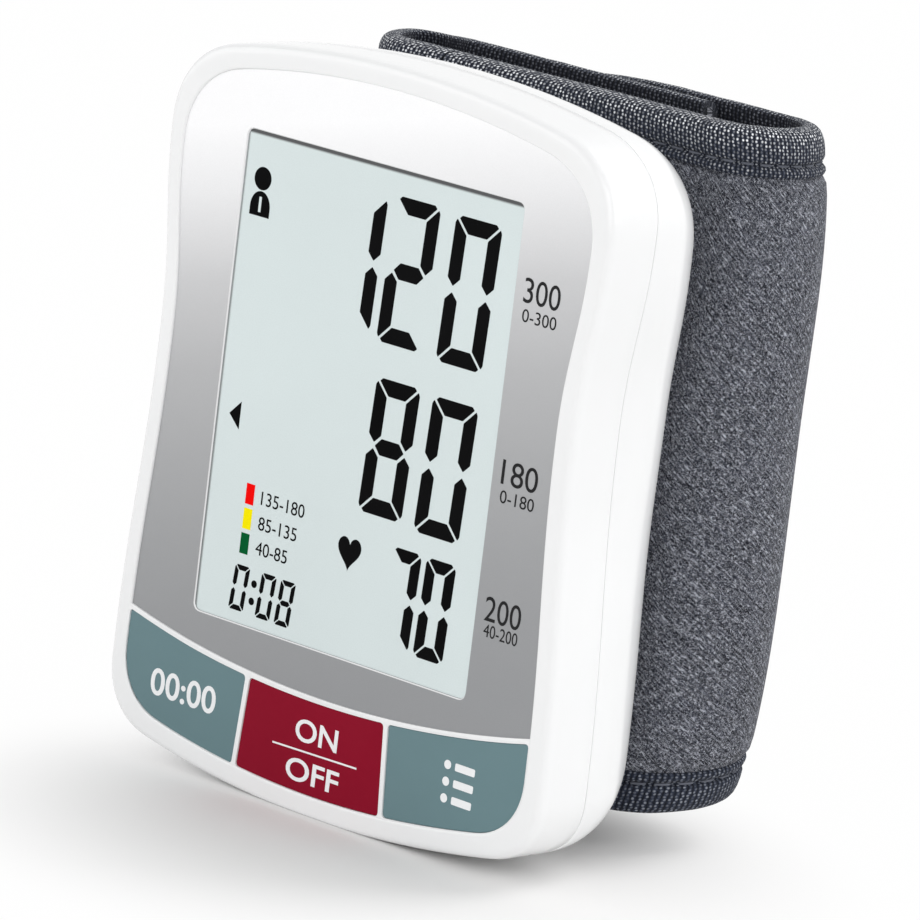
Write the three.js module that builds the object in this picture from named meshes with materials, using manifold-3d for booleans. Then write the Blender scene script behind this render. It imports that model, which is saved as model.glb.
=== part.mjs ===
// Wrist blood pressure monitor: a white waisted case with a large display and three
// keys, held on a flattened felt cuff. Millimetres, Z up, X to the wearer's right, Y
// away from the face. The face panel's front lies at Y = 0 while the pieces are drawn.
import * as THREE from 'three';
import { mergeVertices } from 'three/addons/utils/BufferGeometryUtils.js';
import Module from 'manifold-3d';

// Case
const CASE_WIDTH = 66.6;
const CASE_HEIGHT = 83.4;
const WAIST = 1.8; // draw-in of each side
const WAIST_HEIGHT = 50;
const TOP_RADIUS = 133;
const BOTTOM_RADIUS = 138;
const TOP_CORNER = { across: 8.5, down: 9.5 };
const BOTTOM_CORNER = { across: 6.5, up: 7.5 };
const WALL = 1.8;
const RIM_WIDTH = 2.2;
const RIM_PROUD = 0.5;
const FRONT_WALL = 2.4; // inner face of the front wall
const SEAM_DEPTH = 7; // where the two shells meet
const SEAM = 0.2;
const CASE_BACK = 21.5;
const BACK_ROUND = 13; // inset of the rounded back all round
const FOOT_FLAT = 0.3; // flat ground off the domed bottom
const REAR_FULL = 1; // the rear half is fuller at the waist than the rim
const REAR_FULL_DEPTH = 17;
const REAR_FULL_SPAN = 15;
const LIP = 0.9;

// Fits
const KEY_FIT = 0.15;
const GAP = 0.3;

// Face
const PANEL_THICK = 0.5;
const WINDOW_SIDE = 12.7; // case side to the display's edge
const WINDOW_ABOVE = 10.8;
const WINDOW_BELOW = 18.6;
const WINDOW_WIDTH = CASE_WIDTH - 2 * WINDOW_SIDE;
const WINDOW_HEIGHT = CASE_HEIGHT - WINDOW_ABOVE - WINDOW_BELOW;
const WINDOW_MIDDLE = WINDOW_BELOW + WINDOW_HEIGHT / 2;
const WINDOW_CORNER = 1;
const GLASS_MARGIN = 1.2;
const LENS_THICK = 0.3;
const GLASS_FRONT = 0.9;
const GLASS_THICK = 1.8;
const FRAME_LEDGE = 2.4; // seat under the glass

// Keys
const KEY_LINE = 13; // height of the keys' upper edge at the middle
const KEY_RIB = 0.5;
const KEY_SPLIT_TOP = 10.55; // half width of the middle key, upper and lower end
const KEY_SPLIT_BOTTOM = 11.35;
const KEY_PROUD = 0.3;
const KEY_TRAVEL = 0.8;
const KEY_BACK = FRONT_WALL + 0.9;
const KEY_SIDE = 12.9; // case side to a side key's stem
const KEY_SPACING = CASE_WIDTH / 2 - KEY_SIDE;
const KEY_HEIGHT = 9;
const STEM_RADIUS = 1.2;

// Batteries
const CELL_RADIUS = 5.25;
const CELL_BODY = 43.5;
const CELL_NUB = 1;
const CELL_Y = 13;
const CELL_SIDE = 13.2; // left side of the case to the first cell's axis
const CELL_PITCH = 10.7;
const CELL_FIT = 0.4;
const CELL_X = [CELL_SIDE - CASE_WIDTH / 2, CELL_SIDE + CELL_PITCH - CASE_WIDTH / 2];
const COIL_ROOM = 3.2;
const NUB_ROOM = 0.9;
const TRAY_WALL = 1;
const TRAY_DROP = 9.6; // top of the case to the tray
const TRAY_TOP = CASE_HEIGHT - TRAY_DROP;
const TRAY_BOTTOM = TRAY_TOP - 2 * TRAY_WALL - COIL_ROOM - CELL_BODY - CELL_NUB - NUB_ROOM;
const TRAY_RIGHT = CELL_X[1] + CELL_RADIUS + CELL_FIT + TRAY_WALL;
const DOOR = {
  bottom: TRAY_BOTTOM + TRAY_WALL + 0.8,
  top: TRAY_TOP - TRAY_WALL - 0.3,
  front: CELL_Y - CELL_RADIUS + 0.15,
  back: CELL_Y + CELL_RADIUS + 0.95,
  inner: CELL_X[0] + 0.1,
};

// Electronics
const BOARD_FRONT = 6.7;
const BOARD_THICK = 1.4;
const BOARD_LEFT = TRAY_RIGHT + 0.55;
const BOARD_SIDE = 6.1; // right side of the case to the board
const BOARD_RIGHT = CASE_WIDTH / 2 - BOARD_SIDE;
const BOARD_ENDS = 9.3; // case side to the ends of the strip behind the keys
const BOARD_BOTTOM = 5.9;
const BOARD_STRIP = 8.3;
const SWITCH_SIZE = 6;
const SWITCH_HEIGHT = 1.6;
const CHIP_WIDTH = 10;
const CHIP_HEIGHT = 8;
const BUZZER_RADIUS = 4.2;
const PUMP_SIDE = 17.1; // right side of the case to the pump's axis
const PUMP_X = CASE_WIDTH / 2 - PUMP_SIDE;
const PUMP_RADIUS = 5.2;
const PUMP_Y = 13.6;
const MOTOR_LENGTH = 20;
const HEAD_LENGTH = 12;
const VALVE_SIZE = 6;
const VALVE_DEPTH = 8.4;
const VALVE_LENGTH = 14;
const VALVE_X = TRAY_RIGHT + 0.35 + VALVE_SIZE / 2;
const SENSOR_SIZE = 5;
const SENSOR_LENGTH = 6.5;
const SENSOR_X = PUMP_X + PUMP_RADIUS + 0.7 + SENSOR_SIZE / 2;
const SENSOR_Y = PUMP_Y - 1.6;
const MANIFOLD_DROP = 16.4; // top of the case to the air manifold
const MANIFOLD_HEIGHT = CASE_HEIGHT - MANIFOLD_DROP;
const MANIFOLD_RADIUS = 2;
const HOSE_TOP = MANIFOLD_HEIGHT - MANIFOLD_RADIUS - 0.2;
const PUMP_HOSE = 6.8;
const SENSOR_HOSE = 6.3;
const VALVE_HOSE = 21.8;
const MOTOR_BOTTOM = HOSE_TOP - PUMP_HOSE - HEAD_LENGTH - MOTOR_LENGTH;
const SENSOR_BOTTOM = HOSE_TOP - SENSOR_HOSE - SENSOR_LENGTH;
const VALVE_BOTTOM = HOSE_TOP - VALVE_HOSE - VALVE_LENGTH;
const PORT_X = PUMP_X - 4.4; // air way to the cuff
const HOSE_OUTER = 2;
const HOSE_INNER = 1.2;
const NOZZLE = 1;

// Screws
const SCREW_SIDE = { top: 9.3, bottom: 7.3 }; // case side to a screw
const SCREW_RISE = { top: CASE_HEIGHT - 6, bottom: 5.8 };
const SCREW_PLACES = [
  [SCREW_SIDE.top - CASE_WIDTH / 2, SCREW_RISE.top],
  [CASE_WIDTH / 2 - SCREW_SIDE.top, SCREW_RISE.top],
  [SCREW_SIDE.bottom - CASE_WIDTH / 2, SCREW_RISE.bottom],
  [CASE_WIDTH / 2 - SCREW_SIDE.bottom, SCREW_RISE.bottom],
];
const SCREW_SEAT = { top: 12, bottom: 10 };
const SCREW_SHANK = 1;
const SCREW_HEAD = 1.9;

// Cuff
const CUFF_BOTTOM = 6.1;
const CUFF_BELOW = 2.7; // top of the case to the upper hem
const CUFF_TOP = CASE_HEIGHT - CUFF_BELOW;
const CUFF_HALF = 31.2; // half width at mid height
const CUFF_DRAW_IN = 2.7; // pull of both hems
const CUFF_HUG = 2; // lower front corners reach round the case
const CUFF_DROP = 1.6; // how much lower the front of the lower hem hangs
const PLATE_THICK = 1.5;
const CUFF_FRONT = CASE_BACK + PLATE_THICK + GAP;
const CUFF_TOP_LEAN = 3.4; // how far the front layer falls back at its top
const CUFF_REAR_TOP = 41;
const CUFF_REAR_BOTTOM = 42;
const FELT = 0.8;
const STIFFENER = 0.5;
const BLADDER = 0.7;
const LINING = 0.6;
const LAYER_GAP = 0.2;
const LAP = 3.2; // how far the tab lies inside the strap
const HOOK = 0.7;
const TAPE = 0.45;
const TAPE_HEIGHT = 5;
const PLATE_SCREW_X = PUMP_X - 8.4;
const PLATE_SCREWS = [[PLATE_SCREW_X, 24], [PLATE_SCREW_X, 47]];
const PLATE = { half: CASE_WIDTH / 2 - BACK_ROUND - 3.3, bottom: 20, top: CASE_HEIGHT - 12.4 };

const wasm = await Module();
wasm.setup();

// Solid helpers

const materials = {};
function finish(name, color, roughness, metalness = 0) {
  materials[name] = new THREE.MeshStandardMaterial({ name, color, roughness, metalness });
}
finish('white', '#eef0f1', 0.28);
finish('panel', '#cfd2d5', 0.4);
finish('clear', '#dfe8ea', 0.05);
finish('display', '#cdd9d6', 0.3);
finish('grey_key', '#6a8387', 0.35);
finish('red_key', '#8a0e26', 0.35);
finish('felt', '#585b63', 0.95);
finish('tape', '#3c424e', 0.9);
finish('lining', '#2c2e33', 0.85);
finish('frame', '#d8d8d4', 0.6);
finish('rubber', '#2b2b2d', 0.9);
finish('board', '#1f6b3a', 0.55);
finish('black', '#1c1c1e', 0.5);
finish('steel', '#b9bcc0', 0.3, 1);
finish('silicone', '#dcdcd6', 0.5);
finish('cell', '#2f3a46', 0.4);
finish('bladder', '#3a3a40', 0.7);
finish('hook', '#26282c', 0.95);

function plain(geometry) {
  const copy = geometry.clone();
  for (const name of Object.keys(copy.attributes)) {
    if (name !== 'position') copy.deleteAttribute(name);
  }
  return mergeVertices(copy, 1e-4);
}

function solid(geometry) {
  const clean = plain(geometry);
  const index = Array.from(clean.index.array);
  const triVerts = [];
  for (let i = 0; i < index.length; i += 3) {
    const [a, b, c] = index.slice(i, i + 3);
    if (a !== b && b !== c && c !== a) triVerts.push(a, b, c);
  }
  return new wasm.Manifold(new wasm.Mesh({
    numProp: 3,
    vertProperties: new Float32Array(clean.attributes.position.array),
    triVerts: new Uint32Array(triVerts),
  }));
}

function surface(body) {
  const mesh = body.getMesh();
  const geometry = new THREE.BufferGeometry();
  geometry.setAttribute('position', new THREE.BufferAttribute(new Float32Array(mesh.vertProperties), 3));
  geometry.setIndex(new THREE.BufferAttribute(new Uint32Array(mesh.triVerts), 1));
  const faces = geometry.toNonIndexed();
  faces.computeVertexNormals();
  return faces;
}

function box(x0, x1, y0, y1, z0, z1) {
  const geometry = new THREE.BoxGeometry(x1 - x0, y1 - y0, z1 - z0);
  return solid(geometry.translate((x0 + x1) / 2, (y0 + y1) / 2, (z0 + z1) / 2));
}

function roundAlongY(x, z, radius, y0, y1, sides = 20) {
  const geometry = new THREE.CylinderGeometry(radius, radius, y1 - y0, sides);
  return solid(geometry.translate(x, (y0 + y1) / 2, z));
}

function roundAlongZ(x, y, radius, z0, z1, sides = 20) {
  const geometry = new THREE.CylinderGeometry(radius, radius, z1 - z0, sides);
  return solid(geometry.rotateX(Math.PI / 2).translate(x, y, (z0 + z1) / 2));
}

function roundAlongX(y, z, radius, x0, x1, sides = 16) {
  const geometry = new THREE.CylinderGeometry(radius, radius, x1 - x0, sides);
  return solid(geometry.rotateZ(Math.PI / 2).translate((x0 + x1) / 2, y, z));
}

function prism(shape, y0, y1) {
  const geometry = new THREE.ExtrudeGeometry(shape, { depth: y1 - y0, bevelEnabled: false, curveSegments: 6 });
  return solid(geometry.rotateX(Math.PI / 2).translate(0, y1, 0));
}

// Closed skin over rings of equal length. Open runs of rings get flat caps; a closed run
// joins its last ring to its first.
function skin(rings, closed = false) {
  const count = rings[0].length;
  const points = rings.flat();
  const faces = [];
  const runs = closed ? rings.length : rings.length - 1;
  for (let r = 0; r < runs; r += 1) {
    const here = r * count;
    const next = ((r + 1) % rings.length) * count;
    for (let i = 0; i < count; i += 1) {
      const j = (i + 1) % count;
      faces.push(here + i, here + j, next + j, here + i, next + j, next + i);
    }
  }
  if (!closed) {
    for (const r of [0, rings.length - 1]) {
      const ring = rings[r];
      const u = new THREE.Vector3().subVectors(ring[Math.floor(count / 3)], ring[0]).normalize();
      const w = new THREE.Vector3().subVectors(ring[Math.floor((2 * count) / 3)], ring[0]);
      w.addScaledVector(u, -w.dot(u)).normalize();
      const flat = ring.map((p) => new THREE.Vector2(p.dot(u), p.dot(w)));
      const caps = THREE.ShapeUtils.triangulateShape(flat, []);
      const first = caps[0].map((k) => flat[k]);
      const follows = (THREE.ShapeUtils.area(flat) > 0) === (THREE.ShapeUtils.area(first) > 0);
      for (const cap of caps) {
        const corner = cap.map((k) => r * count + k);
        faces.push(...(follows === (r === 0) ? corner.reverse() : corner));
      }
    }
  }
  const geometry = new THREE.BufferGeometry();
  geometry.setAttribute('position', new THREE.Float32BufferAttribute(points.flatMap((p) => [p.x, p.y, p.z]), 3));
  geometry.setIndex(faces);
  return facedOut(geometry);
}

function facedOut(geometry) {
  const index = geometry.index.array;
  const position = geometry.attributes.position;
  const [a, b, c] = [new THREE.Vector3(), new THREE.Vector3(), new THREE.Vector3()];
  let volume = 0;
  for (let i = 0; i < index.length; i += 3) {
    a.fromBufferAttribute(position, index[i]);
    b.fromBufferAttribute(position, index[i + 1]);
    c.fromBufferAttribute(position, index[i + 2]);
    volume += a.dot(b.cross(c));
  }
  if (volume < 0) geometry.setIndex(Array.from(index).reverse());
  return geometry;
}

// Case outline: domed top and bottom, rounded corners, waisted sides

function halfOutline() {
  const half = CASE_WIDTH / 2;
  const low = Math.asin((half - BOTTOM_CORNER.across) / BOTTOM_RADIUS);
  const high = Math.asin((half - TOP_CORNER.across) / TOP_RADIUS);
  const v = (x, z) => new THREE.Vector2(x, z);
  const lowEnd = v(half - BOTTOM_CORNER.across, BOTTOM_RADIUS * (1 - Math.cos(low)));
  const highEnd = v(half - TOP_CORNER.across, CASE_HEIGHT - TOP_RADIUS * (1 - Math.cos(high)));
  const sideLow = v(half, lowEnd.y + BOTTOM_CORNER.up);
  const sideHigh = v(half, highEnd.y - TOP_CORNER.down);
  const waist = v(half - WAIST, WAIST_HEIGHT);
  const pull = 0.56;
  const rise = 0.42;
  const curves = [
    [new THREE.EllipseCurve(0, BOTTOM_RADIUS, BOTTOM_RADIUS, BOTTOM_RADIUS, -Math.PI / 2, low - Math.PI / 2), 4],
    [new THREE.CubicBezierCurve(
      lowEnd,
      v(lowEnd.x + pull * BOTTOM_CORNER.across, lowEnd.y + pull * BOTTOM_CORNER.across * Math.tan(low)),
      v(half, sideLow.y - pull * BOTTOM_CORNER.up),
      sideLow,
    ), 5],
    [new THREE.CubicBezierCurve(
      sideLow,
      v(half, sideLow.y + rise * (waist.y - sideLow.y)),
      v(waist.x, waist.y - rise * (waist.y - sideLow.y)),
      waist,
    ), 3],
    [new THREE.CubicBezierCurve(
      waist,
      v(waist.x, waist.y + rise * (sideHigh.y - waist.y)),
      v(half, sideHigh.y - rise * (sideHigh.y - waist.y)),
      sideHigh,
    ), 3],
    [new THREE.CubicBezierCurve(
      sideHigh,
      v(half, sideHigh.y + pull * TOP_CORNER.down),
      v(highEnd.x + pull * TOP_CORNER.across, highEnd.y - pull * TOP_CORNER.across * Math.tan(high)),
      highEnd,
    ), 5],
    [new THREE.EllipseCurve(0, CASE_HEIGHT - TOP_RADIUS, TOP_RADIUS, TOP_RADIUS, Math.PI / 2 - high, Math.PI / 2), 4],
  ];
  const points = [curves[0][0].getPoint(0)];
  for (const [curve, steps] of curves) points.push(...curve.getPoints(steps).slice(1));
  return points;
}

const rightHalf = halfOutline();
const leftHalf = rightHalf.slice(1, -1).reverse().map((p) => new THREE.Vector2(-p.x, p.y));
const outline = [...rightHalf, ...leftHalf];

function insetOutline(inset) {
  const across = 1 - (2 * inset) / CASE_WIDTH;
  const along = 1 - (2 * inset) / CASE_HEIGHT;
  const middle = CASE_HEIGHT / 2;
  return outline.map((p) => new THREE.Vector2(p.x * across, middle + (p.y - middle) * along));
}

function fuller(y, z) {
  const share = THREE.MathUtils.smoothstep(y, SEAM_DEPTH, REAR_FULL_DEPTH);
  return REAR_FULL * share * Math.exp(-(((z - WAIST_HEIGHT) / REAR_FULL_SPAN) ** 2));
}

function caseSkin(levels) {
  const ring = ([y, inset]) =>
    insetOutline(inset).map((p) => new THREE.Vector3(p.x + Math.sign(p.x) * fuller(y, p.y), y, p.y));
  return solid(skin(levels.map(ring)));
}

function backLevels(extra, start, back) {
  const levels = [];
  const steps = 5;
  for (let i = 0; i <= steps; i += 1) {
    const angle = (i / steps) * (Math.PI / 2);
    const round = BACK_ROUND * (1 - Math.cos(angle));
    levels.push([start + (back - start) * Math.sin(angle), extra + round]);
  }
  return levels;
}

// Region above or below the arched line over the keys
function aboveKeys(lift, y0, y1) {
  const shape = new THREE.Shape();
  const reach = 0.28;
  const centre = KEY_LINE + lift + BOTTOM_RADIUS;
  shape.absarc(0, centre, BOTTOM_RADIUS, -Math.PI / 2 - reach, -Math.PI / 2 + reach, false);
  shape.lineTo(BOTTOM_RADIUS * Math.sin(reach), CASE_HEIGHT + 10);
  shape.lineTo(-BOTTOM_RADIUS * Math.sin(reach), CASE_HEIGHT + 10);
  const geometry = new THREE.ExtrudeGeometry(shape, { depth: y1 - y0, bevelEnabled: false, curveSegments: 14 });
  return solid(geometry.rotateX(Math.PI / 2).translate(0, y1, 0));
}

function facePrism(inset, y0, y1) {
  return prism(new THREE.Shape(insetOutline(inset)), y0, y1);
}

// Column of one key: -1 left, 0 middle, 1 right; grow widens it
function keyColumn(side, grow, y0, y1) {
  const rib = KEY_RIB / 2 + KEY_FIT - grow;
  const top = KEY_LINE + 10;
  const slope = (KEY_SPLIT_BOTTOM - KEY_SPLIT_TOP) / KEY_LINE;
  const edge = (z, shift) => KEY_SPLIT_BOTTOM - slope * z + shift;
  const shape = new THREE.Shape();
  if (side === 0) {
    shape.moveTo(-edge(0, -rib), 0);
    shape.lineTo(edge(0, -rib), 0);
    shape.lineTo(edge(top, -rib), top);
    shape.lineTo(-edge(top, -rib), top);
  } else {
    shape.moveTo(side * edge(0, rib), 0);
    shape.lineTo(side * CASE_WIDTH, 0);
    shape.lineTo(side * CASE_WIDTH, top);
    shape.lineTo(side * edge(top, rib), top);
  }
  shape.closePath();
  return prism(shape, y0, y1);
}

function keyRegion(side, grow, y0, y1) {
  const band = facePrism(RIM_WIDTH + KEY_FIT - grow, y0, y1);
  return band.subtract(aboveKeys(grow - KEY_FIT, y0 - 1, y1 + 1)).intersect(keyColumn(side, grow, y0, y1));
}

function windowShape(margin, corner) {
  const w = WINDOW_WIDTH / 2 + margin;
  const h = WINDOW_HEIGHT / 2 + margin;
  const shape = new THREE.Shape();
  shape.moveTo(-w + corner, WINDOW_MIDDLE - h);
  shape.lineTo(w - corner, WINDOW_MIDDLE - h);
  shape.absarc(w - corner, WINDOW_MIDDLE - h + corner, corner, -Math.PI / 2, 0, false);
  shape.absarc(w - corner, WINDOW_MIDDLE + h - corner, corner, 0, Math.PI / 2, false);
  shape.absarc(-w + corner, WINDOW_MIDDLE + h - corner, corner, Math.PI / 2, Math.PI, false);
  shape.absarc(-w + corner, WINDOW_MIDDLE - h + corner, corner, Math.PI, Math.PI * 1.5, false);
  return shape;
}

// Shells

const airWay = () => roundAlongY(PORT_X, MANIFOLD_HEIGHT, NOZZLE + 0.8, 15, 32, 16);
const footCut = () => box(-CASE_WIDTH, CASE_WIDTH, -10, CASE_BACK + 10, -10, FOOT_FLAT);

const screwSeat = (z) => (z < KEY_LINE ? SCREW_SEAT.bottom : SCREW_SEAT.top);

// A boss behind a key starts clear of the key at the end of its travel
const bossFront = (z) => (z < KEY_LINE ? KEY_BACK + KEY_TRAVEL + 0.2 : FRONT_WALL - 0.5);

function frontCase() {
  let body = caseSkin([
    [-RIM_PROUD, RIM_WIDTH],
    [-RIM_PROUD - 0.1, RIM_WIDTH - 0.5],
    [-RIM_PROUD + 0.25, RIM_WIDTH - 1.4],
    [0.3, 0.25],
    [1.3, 0],
    [SEAM_DEPTH - SEAM / 2, 0],
  ]);
  body = body.subtract(caseSkin([[FRONT_WALL, WALL], [SEAM_DEPTH + 1, WALL]]));
  for (const [x, z] of SCREW_PLACES) {
    body = body.add(roundAlongY(x, z, SCREW_SHANK + 1.3, bossFront(z), SEAM_DEPTH - SEAM / 2, 14));
  }
  for (const [x, z] of SCREW_PLACES) {
    body = body.subtract(roundAlongY(x, z, SCREW_SHANK + 0.1, bossFront(z) + 0.9, SEAM_DEPTH + 1, 12));
  }
  const seat = facePrism(RIM_WIDTH, -2, PANEL_THICK).intersect(aboveKeys(KEY_RIB, -3, 3));
  body = body.subtract(seat);
  body = body.subtract(prism(windowShape(GLASS_MARGIN + 1, WINDOW_CORNER), 0, FRONT_WALL + 1));
  for (const side of [-1, 0, 1]) {
    body = body.subtract(keyRegion(side, KEY_FIT, -2, FRONT_WALL + 0.5));
  }
  return body.subtract(footCut());
}

const rearOuter = caseSkin(backLevels(0, SEAM_DEPTH, CASE_BACK)).intersect(
  box(-100, 100, SEAM_DEPTH + SEAM / 2, 100, -100, 200),
);
const rearInner = caseSkin([
  [SEAM_DEPTH - 4, WALL],
  ...backLevels(WALL, SEAM_DEPTH, CASE_BACK - WALL),
]);
const doorway = (grow) => box(
  -CASE_WIDTH,
  DOOR.inner,
  DOOR.front - grow,
  DOOR.back + grow,
  DOOR.bottom - grow,
  DOOR.top + grow,
);

function rearCase() {
  let body = rearOuter.subtract(rearInner);
  const lip = caseSkin([[SEAM_DEPTH - 1.6, WALL + GAP], [SEAM_DEPTH + 2, WALL + GAP]]);
  body = body.add(
    lip.subtract(caseSkin([[SEAM_DEPTH - 3, WALL + GAP + LIP], [SEAM_DEPTH + 3, WALL + GAP + LIP]])),
  );
  const outerTrim = rearOuter.add(lip);
  for (const [x, z] of SCREW_PLACES) {
    body = body.add(roundAlongY(x, z, SCREW_HEAD + 0.9, SEAM_DEPTH + SEAM / 2, CASE_BACK, 16).intersect(outerTrim));
  }
  for (const [x, z] of SCREW_PLACES) {
    body = body.subtract(roundAlongY(x, z, SCREW_HEAD + 0.3, screwSeat(z), CASE_BACK + 5, 16));
    body = body.subtract(roundAlongY(x, z, SCREW_SHANK + GAP, 0, screwSeat(z) + 1, 12));
    body = body.subtract(roundAlongY(x, z, SCREW_SHANK + 1.6, 0, SEAM_DEPTH + SEAM / 2, 14));
  }
  body = body.subtract(airWay());
  for (const [x, z] of PLATE_SCREWS) {
    body = body.add(roundAlongY(x, z, 2.4, CASE_BACK - WALL - 2.2, CASE_BACK - 0.5, 14));
    body = body.subtract(roundAlongY(x, z, SCREW_SHANK + 0.1, CASE_BACK - WALL - 1.4, 30, 12));
  }
  return body.subtract(doorway(GAP)).subtract(footCut());
}

function batteryCover() {
  return rearOuter.subtract(rearInner).intersect(doorway(0));
}

// Face

function facePanel() {
  const plate = facePrism(RIM_WIDTH + KEY_FIT, 0, PANEL_THICK);
  return plate
    .intersect(aboveKeys(KEY_RIB + KEY_FIT, -3, 3))
    .subtract(prism(windowShape(0, WINDOW_CORNER), -1, PANEL_THICK + 1));
}

const displayWindow = () => prism(windowShape(GLASS_MARGIN + 0.7, WINDOW_CORNER), PANEL_THICK, PANEL_THICK + LENS_THICK);
const displayGlass = () => prism(windowShape(GLASS_MARGIN, 0.3), GLASS_FRONT, GLASS_FRONT + GLASS_THICK);

function displayFrame() {
  const back = BOARD_FRONT - GAP;
  return prism(windowShape(GLASS_MARGIN + 1.1, 0.6), FRONT_WALL, back)
    .subtract(prism(windowShape(GLASS_MARGIN + GAP, 0.3), FRONT_WALL - 1, GLASS_FRONT + GLASS_THICK))
    .subtract(prism(windowShape(-FRAME_LEDGE, 0.6), 0, back + 1));
}

const STRIP = {
  left: BOARD_LEFT + 0.2,
  right: WINDOW_WIDTH / 2 - FRAME_LEDGE - 0.6,
  bottom: WINDOW_BELOW + FRAME_LEDGE + 0.6,
  top: WINDOW_BELOW + FRAME_LEDGE + 2.6,
};

const contactStrip = () => box(
  STRIP.left,
  STRIP.right,
  GLASS_FRONT + GLASS_THICK,
  BOARD_FRONT,
  STRIP.bottom,
  STRIP.top,
);

// Keys and their switches

function keyCap(side) {
  let cap = keyRegion(side, 0, -RIM_PROUD - KEY_PROUD, KEY_BACK);
  const x = side * KEY_SPACING;
  const tabTop = KEY_LINE + (side === 0 ? 1.2 : 2.7);
  cap = cap.add(box(x - 4, x + 4, FRONT_WALL + 0.2, KEY_BACK, KEY_HEIGHT, tabTop));
  return cap.add(roundAlongY(x, KEY_HEIGHT, STEM_RADIUS, FRONT_WALL, BOARD_FRONT - SWITCH_HEIGHT - 0.9, 14));
}

function switchBody(side) {
  const x = side * KEY_SPACING;
  const half = SWITCH_SIZE / 2;
  const body = box(
    x - half,
    x + half,
    BOARD_FRONT - SWITCH_HEIGHT,
    BOARD_FRONT,
    KEY_HEIGHT - half,
    KEY_HEIGHT + half,
  );
  return body.subtract(roundAlongY(x, KEY_HEIGHT, STEM_RADIUS + 0.4, 0, BOARD_FRONT - 0.1, 14));
}

function switchPlunger(side) {
  const front = BOARD_FRONT - SWITCH_HEIGHT - 0.8;
  const back = BOARD_FRONT - 0.2 - KEY_TRAVEL;
  return roundAlongY(side * KEY_SPACING, KEY_HEIGHT, STEM_RADIUS + 0.1, front, back, 14);
}

// Board and the parts on it

function mainBoard() {
  const back = BOARD_FRONT + BOARD_THICK;
  const reach = CASE_WIDTH / 2 - BOARD_ENDS;
  let board = box(-reach, reach, BOARD_FRONT, back, BOARD_BOTTOM, BOARD_BOTTOM + BOARD_STRIP);
  board = board.add(box(BOARD_LEFT, BOARD_RIGHT, BOARD_FRONT, back, BOARD_BOTTOM + 4, TRAY_TOP + 0.2));
  for (const [x, z] of SCREW_PLACES) {
    board = board.subtract(roundAlongY(x, z, SCREW_HEAD + 1.3, 0, 30, 18));
  }
  return board;
}

const boardBack = BOARD_FRONT + BOARD_THICK;
const chipLeft = BOARD_LEFT + 1.2;
const chipBottom = BOARD_BOTTOM + 3.6;
const mainChip = () => box(
  chipLeft,
  chipLeft + CHIP_WIDTH,
  boardBack,
  boardBack + 1.2,
  chipBottom,
  chipBottom + CHIP_HEIGHT,
);
const buzzerHeight = BOARD_BOTTOM + BUZZER_RADIUS;
const buzzer = () => roundAlongY(-12, buzzerHeight, BUZZER_RADIUS, boardBack, boardBack + 2.6, 24);

function pumpMotor() {
  const can = roundAlongZ(PUMP_X, PUMP_Y, PUMP_RADIUS, MOTOR_BOTTOM, MOTOR_BOTTOM + MOTOR_LENGTH, 24);
  return can.subtract(roundAlongZ(PUMP_X, PUMP_Y, 1.1, MOTOR_BOTTOM + 12, MOTOR_BOTTOM + 30, 12));
}

const headBottom = MOTOR_BOTTOM + MOTOR_LENGTH;

function pumpHead() {
  const half = PUMP_RADIUS - 0.1;
  let head = box(
    PUMP_X - half,
    PUMP_X + half,
    PUMP_Y - half,
    PUMP_Y + half,
    headBottom,
    headBottom + HEAD_LENGTH,
  );
  head = head.subtract(roundAlongZ(PUMP_X, PUMP_Y, 4.2, headBottom - 1, headBottom + 6.5, 20));
  const top = headBottom + HEAD_LENGTH;
  head = head.add(roundAlongZ(PUMP_X, PUMP_Y, NOZZLE, top - 0.5, top + 2.6, 14));
  return head;
}

function pumpCrank() {
  const shaft = roundAlongZ(PUMP_X, PUMP_Y, 0.75, MOTOR_BOTTOM + 13, headBottom + 2, 12);
  const disc = roundAlongZ(PUMP_X, PUMP_Y, 3.4, headBottom + 1, headBottom + 3, 18);
  const pin = roundAlongZ(PUMP_X + 2.1, PUMP_Y, 0.8, headBottom + 2.5, headBottom + 5.2, 12);
  return shaft.add(disc).add(pin);
}

const valveY = boardBack + GAP + VALVE_DEPTH / 2;

function exhaustValve() {
  const half = VALVE_SIZE / 2;
  const deep = VALVE_DEPTH / 2;
  const top = VALVE_BOTTOM + VALVE_LENGTH;
  let body = box(VALVE_X - half, VALVE_X + half, valveY - deep, valveY + deep, VALVE_BOTTOM, top);
  body = body.subtract(roundAlongZ(VALVE_X, valveY, 2.4, VALVE_BOTTOM - 1, VALVE_BOTTOM + 10, 16));
  return body.add(roundAlongZ(VALVE_X, valveY, NOZZLE, top - 0.5, top + 2.6, 14));
}

const valvePlunger = () => roundAlongZ(VALVE_X, valveY, 2.1, VALVE_BOTTOM + 0.4, VALVE_BOTTOM + 8.6, 16);

function pressureSensor() {
  const half = SENSOR_SIZE / 2;
  const top = SENSOR_BOTTOM + SENSOR_LENGTH;
  const body = box(SENSOR_X - half, SENSOR_X + half, boardBack, SENSOR_Y + 1.2, SENSOR_BOTTOM, top);
  return body.add(roundAlongZ(SENSOR_X, SENSOR_Y, NOZZLE, top - 0.5, top + 2.6, 14));
}

function airManifold() {
  let body = roundAlongX(PUMP_Y, MANIFOLD_HEIGHT, MANIFOLD_RADIUS, VALVE_X - 2.6, SENSOR_X + 2, 16);
  for (const [x, y] of [[VALVE_X, valveY], [SENSOR_X, SENSOR_Y], [PUMP_X, PUMP_Y]]) {
    body = body.add(roundAlongZ(x, y, NOZZLE, MANIFOLD_HEIGHT - 4.4, MANIFOLD_HEIGHT - 0.6, 14));
  }
  return body.add(roundAlongY(PORT_X, MANIFOLD_HEIGHT, NOZZLE, PUMP_Y + 0.6, PUMP_Y + 3.6, 14));
}

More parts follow.
